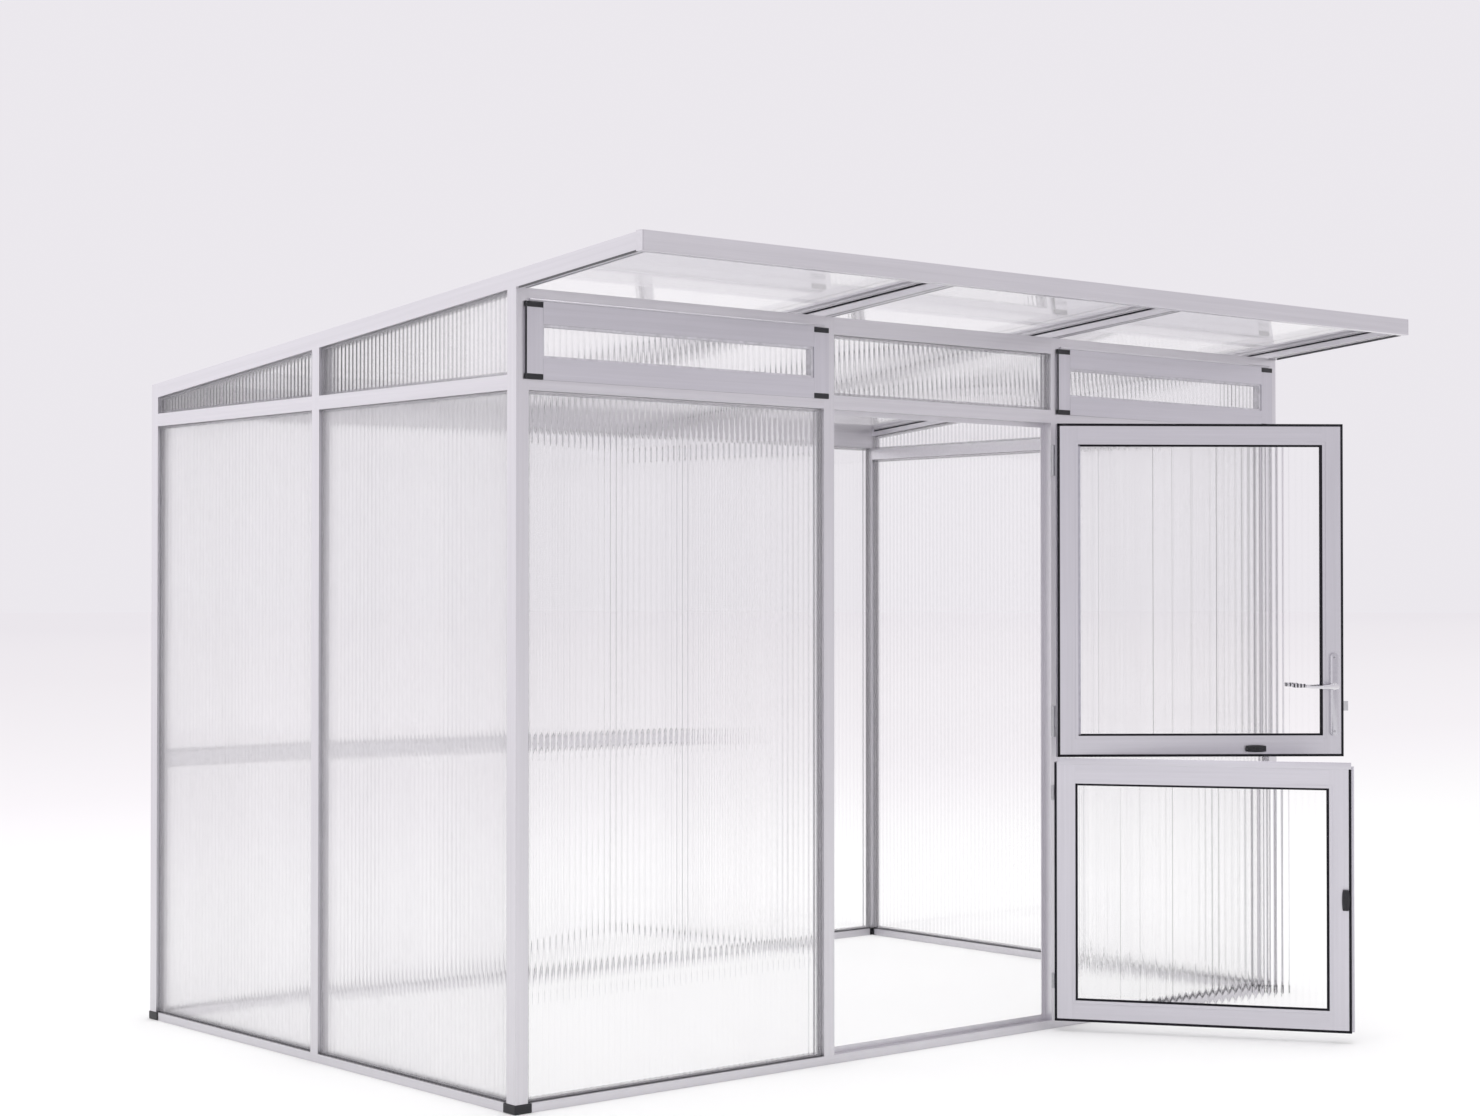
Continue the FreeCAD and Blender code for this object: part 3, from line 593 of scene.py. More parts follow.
    @classmethod
    def soften(
        cls,
        node: str,
        body: str,
        finish: bpy.types.Material,
        slot: str,
        width: float,
        segments: int = 2,
    ) -> None:
        """slot: the record's material slot for the copy; handed on to complete, which does not use
        it.
            segments: faces across each rounded edge.
        """
        piece = bpy.data.objects.new("soft_" + node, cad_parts[node].data.copy())
        bpy.context.scene.collection.objects.link(piece)
        cls.only(piece)
        bpy.ops.object.mode_set(mode="EDIT")
        bpy.ops.mesh.select_all(action="SELECT")
        bpy.ops.mesh.remove_doubles(threshold=cls.WELD)
        bpy.ops.mesh.dissolve_limited(angle_limit=math.radians(1.0))
        cls.leave()
        cls.blunt(piece, width, segments, math.radians(40.0))
        cls.complete(piece, body, finish, slot, [node], cls.SOFT_CREASE)


def leaf_frame(opening: Opening) -> Matrix:
    """Place of a door leaf, whose own X runs from its free edge to its hinge line.

    Args:
        opening: the leaf.

    Returns:
        The matrix from the shut leaf's frame, with its hinge line at the origin.
    """
    turn = Matrix.Rotation(math.radians(opening.value), 4, "Z")
    return Matrix.Translation(HINGE) @ turn


@dataclass(frozen=True)
class Finish:
    """A named surface, which each kind of finish fills in."""

    name: str

    def surface(self, shader: Shader) -> Socket:
        """The surface's shader."""
        raise NotImplementedError

    def material(self) -> bpy.types.Material:
        """Make a material with this surface.

        Returns:
            The new material.
        """
        made = bpy.data.materials.new(self.name)
        made.use_nodes = True
        shader = Shader(made.node_tree)
        shader.finish(self.surface(shader))
        return made


@dataclass(frozen=True)
class DrawnAluminium(Finish):
    """Satin aluminium bar with fine drawing lines along it."""

    colour: Colour
    run: Union[Run, Opening]
    roughness: float = 0.36
    streak: float = 0.10
    coarse_lines: float = 95.0
    fine_lines: float = 620.0
    clouds: float = 2.2
    line_depth: float = 0.00004

    def surface(self, shader: Shader) -> Socket:
        """Streaks in colour, roughness and height along the bar, with faint clouds.

        Args:
            shader: the material being filled.

        Returns:
            The metal's shader.
        """
        place = grain_place(shader, self.run)
        coarse = shader.noise(place, self.coarse_lines, 3.0)
        fine = shader.noise(place, self.fine_lines, 2.0)
        cloud = shader.noise(shader.place(), self.clouds, 2.0)
        tone = (coarse - 0.5) * self.streak * 1.6 + (fine - 0.5) * self.streak
        tone = tone + (cloud - 0.5) * 0.06
        ends = toned(self.colour, 0.80), toned(self.colour, 1.20)
        colour = shader.blend((tone * 2.5 + 0.5).clamped(), *ends)
        return shader.principled(
            Base_Color=colour,
            Metallic=1.0,
            Roughness=self.roughness + (fine - 0.5) * 0.12 + (cloud - 0.5) * 0.08,
            Normal=shader.bump(fine, self.line_depth),
        )


@dataclass(frozen=True)
class RibbedSheet(Finish):
    """Clear twin-wall sheet, whose skins swell a little between their ribs.

    Slope is how far a skin leans between two ribs, bend and gloss are the refractive
    indices of what shows through and of the mirroring, and straight is the share that isn't
    swollen. Rib and shade are how clear the ribs are and how much light reaches the floor.
    Lines and high_line_shade are the strength of the grey lines along the ribs. These lines are
    painted shade that stands in for the lines that the ribs bend into what shows through; the
    second is more painted shade above the side rails, and milk is the share that scatters.
    Rib_line_shade is the grey of these painted lines. Right_share is how much of
    high_line_shade and milk is left to the right of the doorway, where the painted lines
    lose half as much.
    """

    across: tuple[float, float, float]
    start: float
    pitch: float
    slope: float = 0.8
    bend: float = 1.2
    straight: float = 0.05
    rib: float = 0.990
    gloss: float = 1.45
    shade: float = 0.985
    # Painted shade: this setting and the next give the strength of the grey lines painted along
    # the ribs, the next one above the side rails.
    lines: float = 0.12
    high_line_shade: float = 0.0
    milk: float = 0.06
    # Painted shade: the grey of the lines painted along the ribs.
    rib_line_shade: Colour = (0.80, 0.80, 0.81)
    cloud: Colour = (0.97, 0.96, 0.98)
    right_share: float = 0.3
    clouds: float = 5.0

    def skin(self, shader: Shader, phase: Socket, normal: Socket) -> Socket:
        """The clear skins, which mirror a little and bend what is behind them.

        Args:
            shader: the material being filled.
            phase: place across the ribs, a full turn from each rib to the next.
            normal: the face's own normal.

        Returns:
            The skins' shader.
        """
        inside = shader.node("ShaderNodeNewGeometry", output="Backfacing")
        outside = 1.0 - inside
        swell = phase.sine() * outside * self.slope
        push = shader.vector_math("SCALE", {0: self.across, "Scale": swell})
        bent = shader.vector_math("ADD", {0: normal, 1: push})
        bent = shader.vector_math("NORMALIZE", {0: bent})
        clear = shader.mix(self.straight, self.plastic(shader, bent), self.plastic(shader, normal))
        # Cloudy noise for the mirror's roughness, the haze and the strength of the painted shade
        # lines.
        dust_and_shade = shader.noise(shader.place(), self.clouds, 3.0)
        lines, haze = self.covers(shader, phase, dust_and_shade)
        # Painted shade: a grey clear layer along each rib darkens what shows through, standing in
        # for the lines that the ribs bend into it.
        clear = shader.mix((lines * outside).clamped(), clear, shader.clear(self.rib_line_shade))
        cloud = shader.node("ShaderNodeBsdfTranslucent", {}, {"Color": (*self.cloud, 1.0)})
        clear = shader.mix(haze * outside, clear, cloud)
        polish = {"Color": WHITE, "Roughness": 0.03 + dust_and_shade * 0.04}
        mirror = shader.node("ShaderNodeBsdfGlossy", {}, polish)
        gloss = shader.node("ShaderNodeFresnel", {}, {"IOR": self.gloss}) * outside
        return shader.mix(gloss, clear, mirror)

    def covers(self, shader: Shader, phase: Socket, dust_and_shade: Socket) -> tuple[Socket, Socket]:
        """How much the painted grey shade lines and the haze hide, less to the right of the
        doorway.

        Args:
            shader: the material being filled.
            phase: place across the ribs, a full turn from each rib to the next.
            dust_and_shade: cloudy noise between 0 and 1, which also varies the painted line shade.

        Returns:
            The share that the lines hide and the share that scatters.
        """
        wave = phase.sine() * 0.5 + 0.5
        x, _, z = shader.parts(shader.place())
        high = z > SIDE_RAIL
        # Painted shade: the grey lines are painted stronger above the side rails and fainter to
        # the right of the doorway.
        left = (x < DOORWAY_RIGHT) * (1.0 - self.right_share) + self.right_share
        strength = high * left * self.high_line_shade + self.lines * (left * 0.5 + 0.5)
        lines = wave * wave * (0.7 + dust_and_shade * 0.6) * strength
        return lines, (0.8 + dust_and_shade * 0.4) * (1.0 - high * 0.7) * left * self.milk

    def plastic(self, shader: Shader, normal: Socket) -> Socket:
        """Clear plastic whose surface lies across this normal."""
        values = {"Color": WHITE, "Roughness": 0.0, "IOR": self.bend, "Normal": normal}
        return shader.node("ShaderNodeBsdfRefraction", {}, values)

    def surface(self, shader: Shader) -> Socket:
        """Clear skins with thin ribs between, which let a lamp's light straight through.

        Args:
            shader: the material being filled.

        Returns:
            The sheet's shader.
        """
        way = shader.along(shader.place(), self.across)
        phase = (way - self.start) * (2 * math.pi / self.pitch)
        normal = shader.node("ShaderNodeNewGeometry", output="Normal")
        skin = self.skin(shader, phase, normal)
        is_rib = shader.along(normal, self.across).size() > 0.5
        seen = shader.mix(is_rib, skin, shader.clear((self.rib,) * 3))
        lighting = shader.rays("Is Shadow Ray", "Is Diffuse Ray")
        return shader.mix(lighting, seen, shader.clear((self.shade,) * 3))


@dataclass(frozen=True)
class Rubber(Finish):
    """Matt glazing rubber with a faint bloom, black unless a colour is given."""

    colour: Colour = (0.0045, 0.004, 0.007)
    blooms: float = 60.0
    grain: float = 900.0
    grain_depth: float = 0.00006

    def surface(self, shader: Shader) -> Socket:
        """Matt and a little paler where it has bloomed.

        Args:
            shader: the material being filled.

        Returns:
            The rubber's shader.
        """
        place = shader.place()
        bloom = shader.noise(place, self.blooms, 3.0)
        return shader.principled(
            Base_Color=shader.blend(bloom, self.colour, toned(self.colour, 1.9)),
            Specular_IOR_Level=0.25,
            Roughness=0.55 + bloom * 0.2,
            Normal=shader.bump(shader.noise(place, self.grain), self.grain_depth),
        )


@dataclass(frozen=True)
class ClearGasket(Finish):
    """Clear glazing gasket, which is black only along the sills."""

    alpha: float = 0.25
    sill_top: float = 0.0275
    leaf_side: float = -0.03
    tint: Colour = CLEAR_RUBBER
    black: Colour = (0.09, 0.088, 0.095)
    blooms: float = 70.0
    grain: float = 900.0
    grain_depth: float = 0.00004

    def surface(self, shader: Shader) -> Socket:
        """Nearly clear above the sills.

        Args:
            shader: the material being filled.

        Returns:
            The gasket's shader.
        """
        place = shader.place()
        _, y, z = shader.parts(place)
        low = ((z < self.sill_top) + (y < self.leaf_side)).clamped()
        bloom = shader.noise(place, self.blooms, 3.0)
        tint = shader.blend(bloom, self.tint, toned(self.tint, 1.2))
        return shader.principled(
            Base_Color=shader.blend(low, tint, self.black),
            Roughness=0.35 + bloom * 0.2,
            Alpha=shader.choose(low, self.alpha, 1.0),
            Normal=shader.bump(shader.noise(place, self.grain), self.grain_depth),
        )


@dataclass(frozen=True)
class MouldedPlastic(Finish):
    """Plastic with a fine moulded grain."""

    colour: Colour
    roughness: float = 0.42
    clouds: float = 45.0
    grain: float = 1500.0
    grain_depth: float = 0.00005

    def surface(self, shader: Shader) -> Socket:
        """Grained, with faint clouds in colour and roughness.

        Args:
            shader: the material being filled.

        Returns:
            The plastic's shader.
        """
        place = shader.place()
        cloud = shader.noise(place, self.clouds, 3.0)
        return shader.principled(
            Base_Color=shader.blend(cloud, self.colour, toned(self.colour, 1.5)),
            Roughness=self.roughness + (cloud - 0.5) * 0.15,
            Normal=shader.bump(shader.noise(place, self.grain), self.grain_depth),
        )


@dataclass(frozen=True)
class Plated(Finish):
    """Plated or polished metal with faint handling marks."""

    colour: Colour
    roughness: float
    spread: float = 0.06
    clouds: float = 120.0
    marks: float = 700.0
    mark_depth: float = 0.00002

    def surface(self, shader: Shader) -> Socket:
        """Bright, with faint clouds in colour and roughness.

        Args:
            shader: the material being filled.

        Returns:
            The metal's shader.
        """
        place = shader.place()
        cloud = shader.noise(place, self.clouds, 4.0)
        return shader.principled(
            Base_Color=shader.blend(cloud, toned(self.colour, 0.82), self.colour),
            Metallic=1.0,
            Roughness=self.roughness + (cloud - 0.5) * self.spread,
            Normal=shader.bump(shader.noise(place, self.marks), self.mark_depth),
        )


@dataclass(frozen=True)
class RingedGrip(Finish):
    """Bright metal grip with dark recessed rings."""

    way: tuple[float, float, float]
    pitch: float = 0.0105
    bright: Colour = (0.62, 0.61, 0.64)
    dark: Colour = (0.03, 0.03, 0.035)
    marks: float = 300.0
    ring_depth: float = 0.0006

    def surface(self, shader: Shader) -> Socket:
        """Rings across the way that the grip points.

        Args:
            shader: the material being filled.

        Returns:
            The grip's shader.
        """
        place = shader.place()
        phase = shader.along(place, self.way) * (2 * math.pi / self.pitch)
        ring = ((phase.sine() + 0.1) * 4.0).clamped()
        marks = shader.noise(place, self.marks, 3.0)
        return shader.principled(
            Base_Color=shader.blend(ring, self.bright, self.dark),
            Metallic=1.0 - ring,
            Roughness=0.22 + ring * 0.3 + (marks - 0.5) * 0.1,
            Normal=shader.bump(1.0 - ring, self.ring_depth),
        )


@dataclass(frozen=True)
class PaleFloor(Finish):
    """Matt white floor, which dims towards the horizon into the backdrop's tone.

    Tones are its colours at distances in metres behind the door's sill, the last at far.
    Sideways is the share that counts of a distance in another direction.
    """

    shade: float = 0.88
    glow: float = 0.055
    sideways: float = 0.45
    far: float = 80.0
    tones: tuple[tuple[float, Colour], ...] = (
        (4.0, (1.0, 1.0, 1.0)),
        (7.5, (0.975, 0.955, 0.978)),
        (10.0, (0.955, 0.932, 0.957)),
        (17.0, (0.935, 0.912, 0.937)),
        (32.0, (0.905, 0.880, 0.908)),
        (80.0, (0.870, 0.845, 0.880)),
    )

    def surface(self, shader: Shader) -> Socket:
        """Paint that glows a little where it is seen, as it would in more light.

        Args:
            shader: the material being filled.

        Returns:
            The floor's shader.
        """
        place = shader.place()
        away = shader.parts(place)[1].larger(shader.length(place) * self.sideways)
        ramp = {"stops": [(way / self.far, tone) for way, tone in self.tones]}
        tone = shader.node("ShaderNodeValToRGB", ramp, {0: away / self.far}, "Color")
        paint = {"Color": shader.blend(self.shade, (0, 0, 0), tone)}
        matt = shader.node("ShaderNodeBsdfDiffuse", {}, paint)
        glow = shader.node("ShaderNodeEmission", {}, {"Color": tone, "Strength": self.glow})
        lit = shader.node("ShaderNodeAddShader", {}, {0: matt, 1: glow})
        return shader.mix(shader.rays(*VIEW_RAYS), matt, lit)


def dress(names: Iterable[str], material: bpy.types.Material) -> None:
    """Give CAD nodes a material.

    Args:
        names: the nodes.
        material: their finish.
    """
    for name in names:
        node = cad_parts[name]
        node.data.materials.clear()
        node.data.materials.append(material)
        log.info("dressed %s in %s", name, material.name)


class Metals:
    """Colours of the metals, as they look in plain light."""

    BAR: Colour = (0.650, 0.638, 0.668)
    LEAF: Colour = (0.588, 0.576, 0.618)
    ZINC: Colour = (0.5, 0.5, 0.52)
    LATCH: Colour = (0.6, 0.6, 0.62)
    CHROME: Colour = (0.78, 0.775, 0.80)
    SATIN: Colour = (0.58, 0.57, 0.61)


class Blacks:
    """Colours of the moulded plastic."""

    FEET: Colour = (0.006, 0.006, 0.009)
    PIVOT: Colour = (0.008, 0.008, 0.010)
    BUTTON: Colour = (0.008, 0.008, 0.011)


@dataclass
class Building:
    """The fixed bars, sheets and rubbers."""

    roof_top: float = 2.1902
    roof_run: tuple[float, float] = (-0.524, 1.925)
    edges: tuple[float, ...] = (-1.5390, -0.5000, -0.4570, 0.4570, 0.5000, 1.5390)
    grooves: tuple[float, ...] = (-0.4900, -0.4670, 0.4670, 0.4900, -1.5490, 1.5490)
    edge_drop: tuple[float, float] = (0.023, 0.0275)
    edge_wide: float = 0.003
    groove_drop: tuple[float, float] = (0.0449, 0.0454)
    groove_wide: float = 0.0012
    uprights: tuple[str, ...] = (
        "front_corner_posts",
        "back_corner_posts",
        "door_posts",
        "wall_mid_posts",
    )
    front_bars: tuple[str, ...] = (
        "front_base_rails",
        "threshold",
        "front_mid_rails",
        "front_top_rails",
        "back_beam",
        "fascia",
        "fascia_end_caps",
        "vent_hinge_channels",
    )

    def finish(self) -> None:
        """Dress the building's own nodes."""
        for nodes, name, run in (
            (self.uprights, "upright bars", Run.UPRIGHT),
            (self.front_bars, "cross bars", Run.ALONG_FRONT),
            (("wall_base_rails", "wall_mid_rails"), "wall bars", Run.ALONG_WALLS),
            (("barges", "rafters"), "roof bars", Run.ALONG_SIDE),
            (("door_stops",), "stops", Run.DOOR_FRAME),
        ):
            dress(nodes, DrawnAluminium(name, Metals.BAR, run).material())
        dress(["wall_gaskets"], ClearGasket("clear gasket").material())
        self.small_pieces()
        self.sheets()
        dress(["strike_plate"], Plated("zinc keeper", Metals.LATCH, 0.35).material())

    def sheets(self) -> None:
        """Dress the fixed sheets, each kind from its first rib on."""
        front = RibbedSheet("front sheet", ACROSS_FRONT, start=-1.5375, pitch=0.0199)
        side = RibbedSheet(
            "side sheet",
            ACROSS_SIDE,
            start=0.023,
            pitch=0.0201,
            slope=0.3,
            bend=1.1,
            straight=0.0,
            lines=0.28,
            # Painted shade: strong grey lines above the side rails.
            high_line_shade=1.4,
            milk=0.32,
        )
        roof = RibbedSheet(
            "roof sheet",
            ACROSS_FRONT,
            start=-1.5515,
            pitch=0.0200,
            slope=0.0,
            bend=1.0,
            straight=0.0,
            rib=1.0,
            gloss=1.33,
            shade=0.95,
            lines=0.035,
            milk=0.0,
        )
        dress(["front_sheets", "back_sheets"], front.material())
        dress(["roof_sheets"], roof.material())
        dress(["side_sheets"], side.material())

    def small_pieces(self) -> None:
        """Round the small parts' edges and add the roof's thin rubbers."""
        black = MouldedPlastic("black feet", Blacks.FEET).material()
        zinc = Plated("post zinc", Metals.ZINC, 0.35).material()
        cross = DrawnAluminium("fascia bars", Metals.BAR, Run.ALONG_FRONT).material()
        for node, width, finish, slot in (
            ("corner_feet", 0.0025, black, "black_plastic"),
            ("hinge_post_plates", 0.0008, zinc, "steel"),
            ("hinge_post_screws", 0.0004, zinc, "steel"),
            ("fascia", 0.0012, cross, "aluminium"),
            ("fascia_end_caps", 0.0010, cross, "aluminium"),
        ):
            Bench.soften(node, "building", finish, slot, width)
        rubber = Rubber("roof rubber").material()
        line = Rubber("bar grooves", (0.05, 0.049, 0.055)).material()
        for name, places, drop, width, finish in (
            ("roof_rubber_lines", self.edges, self.edge_drop, self.edge_wide, rubber),
            ("rafter_groove_lines", self.grooves, self.groove_drop, self.groove_wide, line),
        ):
            self.roof_strips(name, places, drop, width, finish)

    def roof_strips(
        self,
        name: str,
        places: Sequence[float],
        drop: tuple[float, float],
        width: float,
        finish: bpy.types.Material,
    ) -> None:
        """Lay thin strips along the roof's slope.

        Args:
            name: the piece's name.
            places: where each strip lies along the front.
            drop: how far below the roof's top line it starts and ends.
            width: its width.
            finish: its material.
        """
        fall = Matrix.Rotation(-math.atan(ROOF_FALL), 4, "X")
        top = Matrix.Translation((0.0, 0.0, self.roof_top)) @ fall
        low = (places[0] - width / 2, self.roof_run[0], -drop[1])
        high = (places[0] + width / 2, self.roof_run[1], -drop[0])
        strip = Bench.block(name, low, high)
        Bench.round_edges(strip, min(width, drop[1] - drop[0]) * 0.3, 2)
        twins = [Bench.copied(strip, (x - places[0], 0.0, 0.0)) for x in places[1:]]
        piece = Bench.place(Bench.merge(name, [strip] + twins), top)
        Bench.complete(piece, "building", finish, "black_rubber")


@dataclass
class DoorLeaf:
    """One of the two door leaves."""

    prefix: str
    opening: Opening
    heights: tuple[float, float]
    near: float = 0.008
    far: float = 0.902
    band: float = 0.008
    bar: float = 0.065
    rubber_back: float = 0.0322
    rubber_face: float = 0.0362
    sheet_face: float = 0.028
    lip_face: float = 0.0345
    lip: float = 0.0065
    free_lip: float = 0.0085
    hinge_bead: float = 0.008
    first_rib: float = 0.075

    @property
    def body(self) -> str:
        """The CAD body that the leaf's pieces move with."""
        return self.prefix + "_leaf"

    def finish(self) -> None:
        """Dress the leaf's nodes."""
        stiles = DrawnAluminium(self.prefix + " stiles", Metals.LEAF, Run.UPRIGHT)
        rails = DrawnAluminium(self.prefix + " rails", Metals.LEAF, self.opening)
        dress([self.body + "_stiles"], stiles.material())
        dress([self.body + "_rails"], rails.material())
        sheet = RibbedSheet(
            self.prefix + " sheet",
            self.opening.way,
            start=HINGE.dot(Vector(self.opening.way)) + self.first_rib,
            pitch=0.0199,
            slope=0.3,
            bend=1.1,
            straight=0.2,
            rib=1.0,
            gloss=1.25,
            lines=0.06,
            milk=0.0,
        )
        dress([self.body + "_sheet"], sheet.material())
        self.rubbers()
        zinc = Plated(self.prefix + " hinge zinc", Metals.ZINC, 0.35).material()
        for part, width in (("hinge_leaf_plates", 0.0008), ("hinge_pins", 0.0006)):
            Bench.soften(f"{self.prefix}_{part}", self.body, zinc, "steel", width)
        screws = Plated("leaf screws", Metals.ZINC, 0.3).material()
        dress([self.prefix + "_hinge_screws"], screws)
        black = MouldedPlastic(self.prefix + " pivot", Blacks.PIVOT).material()
        dress([self.prefix + "_button_pivot"], black)
        if self.opening is Opening.LOWER:
            satin = DrawnAluminium("meeting strip", Metals.LEAF, self.opening).material()
            Bench.soften("meeting_strip", self.body, satin, "leaf_aluminium", 0.003, 3)

    def rubbers(self) -> None:
        """Model the black lines round the leaf and round its sheet, and on the upper leaf a dark
        grey strip of painted shade along the hinge side.
        """
        low, high = self.heights
        near, far, band = self.near, self.far, self.band
        back, face, sheet = self.rubber_back, self.rubber_face, self.sheet_face
        strips = [
            ((-far, back, low), (-far + band, face, high)),
            ((-near - band, back, low), (-near, face, high)),
            ((-far, back, low), (-near, face, low + band)),
        ]
        if self.opening is Opening.UPPER:
            strips.append(((-far, back, high - band), (-near, face, high)))
        left, right = -far + self.bar, -near - self.bar
        foot, head, lip = low + self.bar, high - self.bar, self.lip
        strips += [
            ((left, sheet, foot), (left + self.free_lip, self.lip_face, head)),
            ((left, sheet, foot), (right, back, foot + lip)),
            ((left, sheet, head - lip), (right, back, head)),
        ]
        if self.opening is Opening.LOWER:
            strips.append(((right - lip, sheet, foot), (right, back, head)))
        name = self.body + "_rubber_lines"
        pieces = []
        for corners in strips:
            strip = Bench.block(name, *corners)
            Bench.round_edges(strip, 0.0008, 2)
            pieces.append(strip)
        place = leaf_frame(self.opening)
        lines = Bench.place(Bench.merge(name, pieces), place)
        rubber = Rubber(self.prefix + " seal").material()
        Bench.complete(lines, self.body, rubber, "black_rubber", [self.body + "_seals"])
        if self.opening is Opening.UPPER:
            # Painted shade: the hinge-side aluminium bead is drawn as a dark grey matt strip, the
            # tone of the bead in its own shade.
            corner = (right - self.hinge_bead, sheet, foot)
            strip = Bench.block("hinge_side_shaded_bead", corner, (right, back, head))
            Bench.round_edges(strip, 0.0012, 2)
            grey = Rubber("hinge bead in painted shade", (0.30, 0.29, 0.33)).material()
            Bench.complete(Bench.place(strip, place), self.body, grey, "black_rubber")


@dataclass
class LeverLock:
    """Case, bolt, levers, grips and cover plates of the upper leaf's lock."""

    handle: float = 0.871
    height: float = 1.062
    plate_foot: float = 0.908
    plate_top: float = 1.165
    plate_wide: float = 0.025
    plate_thick: float = 0.008
    outer_face: float = 0.004
    inner_face: float = 0.036
    collar: float = 0.0115
    collar_proud: float = 0.004
    neck: float = 0.009
    neck_long: float = 0.018
    plate_gap: float = 0.0003
    spindle: float = 0.004
    arm_thick: float = 0.011
    arm_half: float = 0.0085
    arm_root: float = 0.006
    grip_start: float = 0.775
    grip_root: float = 0.008
    grip_half: float = 0.0058
    grip_rise: float = 0.0026
    grip_proud: float = 0.0004
    screw: float = 0.0042
    screw_proud: float = 0.0016
    screw_inset: float = 0.014
    steps: tuple[tuple[float, float, float, float], ...] = (
        (0.012, -0.0006, 0.90, 0.84),
        (0.018, -0.0014, 0.90, 0.74),
        (0.022, -0.0008, 0.94, 0.86),
        (0.024, 0.0014, 1.00, 0.96),
        (0.013, 0.0020, 1.00, 1.06),
    )

    def reach(self, face: float, outward: int) -> float:
        """Depth at which a lever's neck ends and its arm starts."""
        return face + outward * (self.plate_gap + self.neck_long)

    def arm(self, face: float, outward: int) -> bpy.types.Object:
        """One lever: collar, neck and tapered arm.

        Args:
            face: depth of the cover plate's face.
            outward: 1 for the inner lever, -1 for the outer one.

        Returns:
            The lever on a shut leaf whose hinge line is the origin.
        """
        x, z = -self.handle, self.height
        end = self.reach(face, outward)
        foot, rim = (x, face, z), (x, face + outward * self.collar_proud, z)
        collar = Bench.rod("collar", self.collar, foot, rim, 48)
        neck = Bench.rod("neck", self.neck, foot, (x, end + outward * 0.004, z), 48)
        Bench.round_edges(
            collar, 0.0012, 2, lambda a, b: min(abs(a.y - face), abs(b.y - face)) > 0.003
        )
        low, high = sorted((end, end + outward * self.arm_thick))
        half = self.arm_half
        arm = Bench.block("arm", (x - half, low, z - half), (x + self.arm_root, high, z + half))
        Bench.round_edges(arm, 0.006, 4, lambda a, b: max(a.x, b.x) < x and abs(a.y - b.y) > 0.005)
        steps = [((dx, 0.0, dz), (1.0, sy, sz)) for dx, dz, sy, sz in self.steps]
        Bench.grow(arm, lambda c, n: n.x > 0.9, steps)
        Bench.blunt(arm, 0.0018)
        Bench.modify(arm, "SUBSURF", levels=1, render_levels=1)
        return Bench.merge("lever", [arm, neck, collar])

    def grip(self, face: float, outward: int) -> bpy.types.Object:
        """The swollen end of one lever.

        Args:
            face: depth of the cover plate's face.
            outward: 1 for the inner lever, -1 for the outer one.

        Returns:
            The grip on a shut leaf whose hinge line is the origin.
        """
        end = self.reach(face, outward)
        near = end - outward * self.grip_proud
        low, high = sorted((near, end + outward * (self.arm_thick + self.grip_proud)))
        x, z = -self.grip_start, self.height + self.grip_rise
        low_corner = (x, low, z - self.grip_half)
        grip = Bench.block("grip", low_corner, (x + self.grip_root, high, z + self.grip_half))
        steps = [
            ((0.012, 0.0, 0.0004), (1.0, 1.03, 1.12)),
            ((0.014, 0.0, 0.0004), (1.0, 1.0, 1.02)),
            ((0.009, 0.0, 0.0), (1.0, 0.86, 0.82)),
        ]
        Bench.grow(grip, lambda c, n: n.x > 0.9, steps)
        Bench.blunt(grip, 0.003)
        Bench.modify(grip, "SUBSURF", levels=1, render_levels=1)
        return grip

    def plate(self, face: float, outward: int) -> bpy.types.Object:
        """A long cover plate with round ends, a sloping edge and two screws.

        Args:
            face: depth of the plate's face.
            outward: 1 for the inner plate, -1 for the outer one.

        Returns:
            The plate on a shut leaf whose hinge line is the origin.
        """
        half = self.plate_wide / 2
        back = face - outward * self.plate_thick
        low, high = sorted((face, back))
        x = -self.handle
        plate = Bench.block(
            "plate", (x - half, low, self.plate_foot), (x + half, high, self.plate_top)
        )
        Bench.round_edges(plate, half * 0.98, 10, lambda a, b: abs(a.y - b.y) > 0.004)
        Bench.pick_faces(plate, lambda c, n: n.y * outward > 0.9)
        bpy.ops.mesh.inset(thickness=0.0022, depth=0.0)
        bpy.ops.mesh.inset(thickness=0.0014, depth=0.0009)
        Bench.leave()
        Bench.round_edges(
            plate, 0.0006, 2, lambda a, b: max(abs(a.y - face), abs(b.y - face)) < TOUCH
        )
        z = self.plate_foot + self.screw_inset
        top = (x, face + outward * self.screw_proud, z)
        head = Bench.rod("head", self.screw, (x, face, z), top, 32)
        Bench.pick_faces(head, lambda c, n: n.y * outward > 0.9)
        bpy.ops.mesh.inset(thickness=0.0012, depth=0.0)
        bpy.ops.mesh.inset(thickness=0.0008, depth=-0.0007)
        Bench.leave()
        upper = Bench.copied(head, (0.0, 0.0, self.plate_top - self.screw_inset - z))
        return Bench.merge("plate", [plate, head, upper])

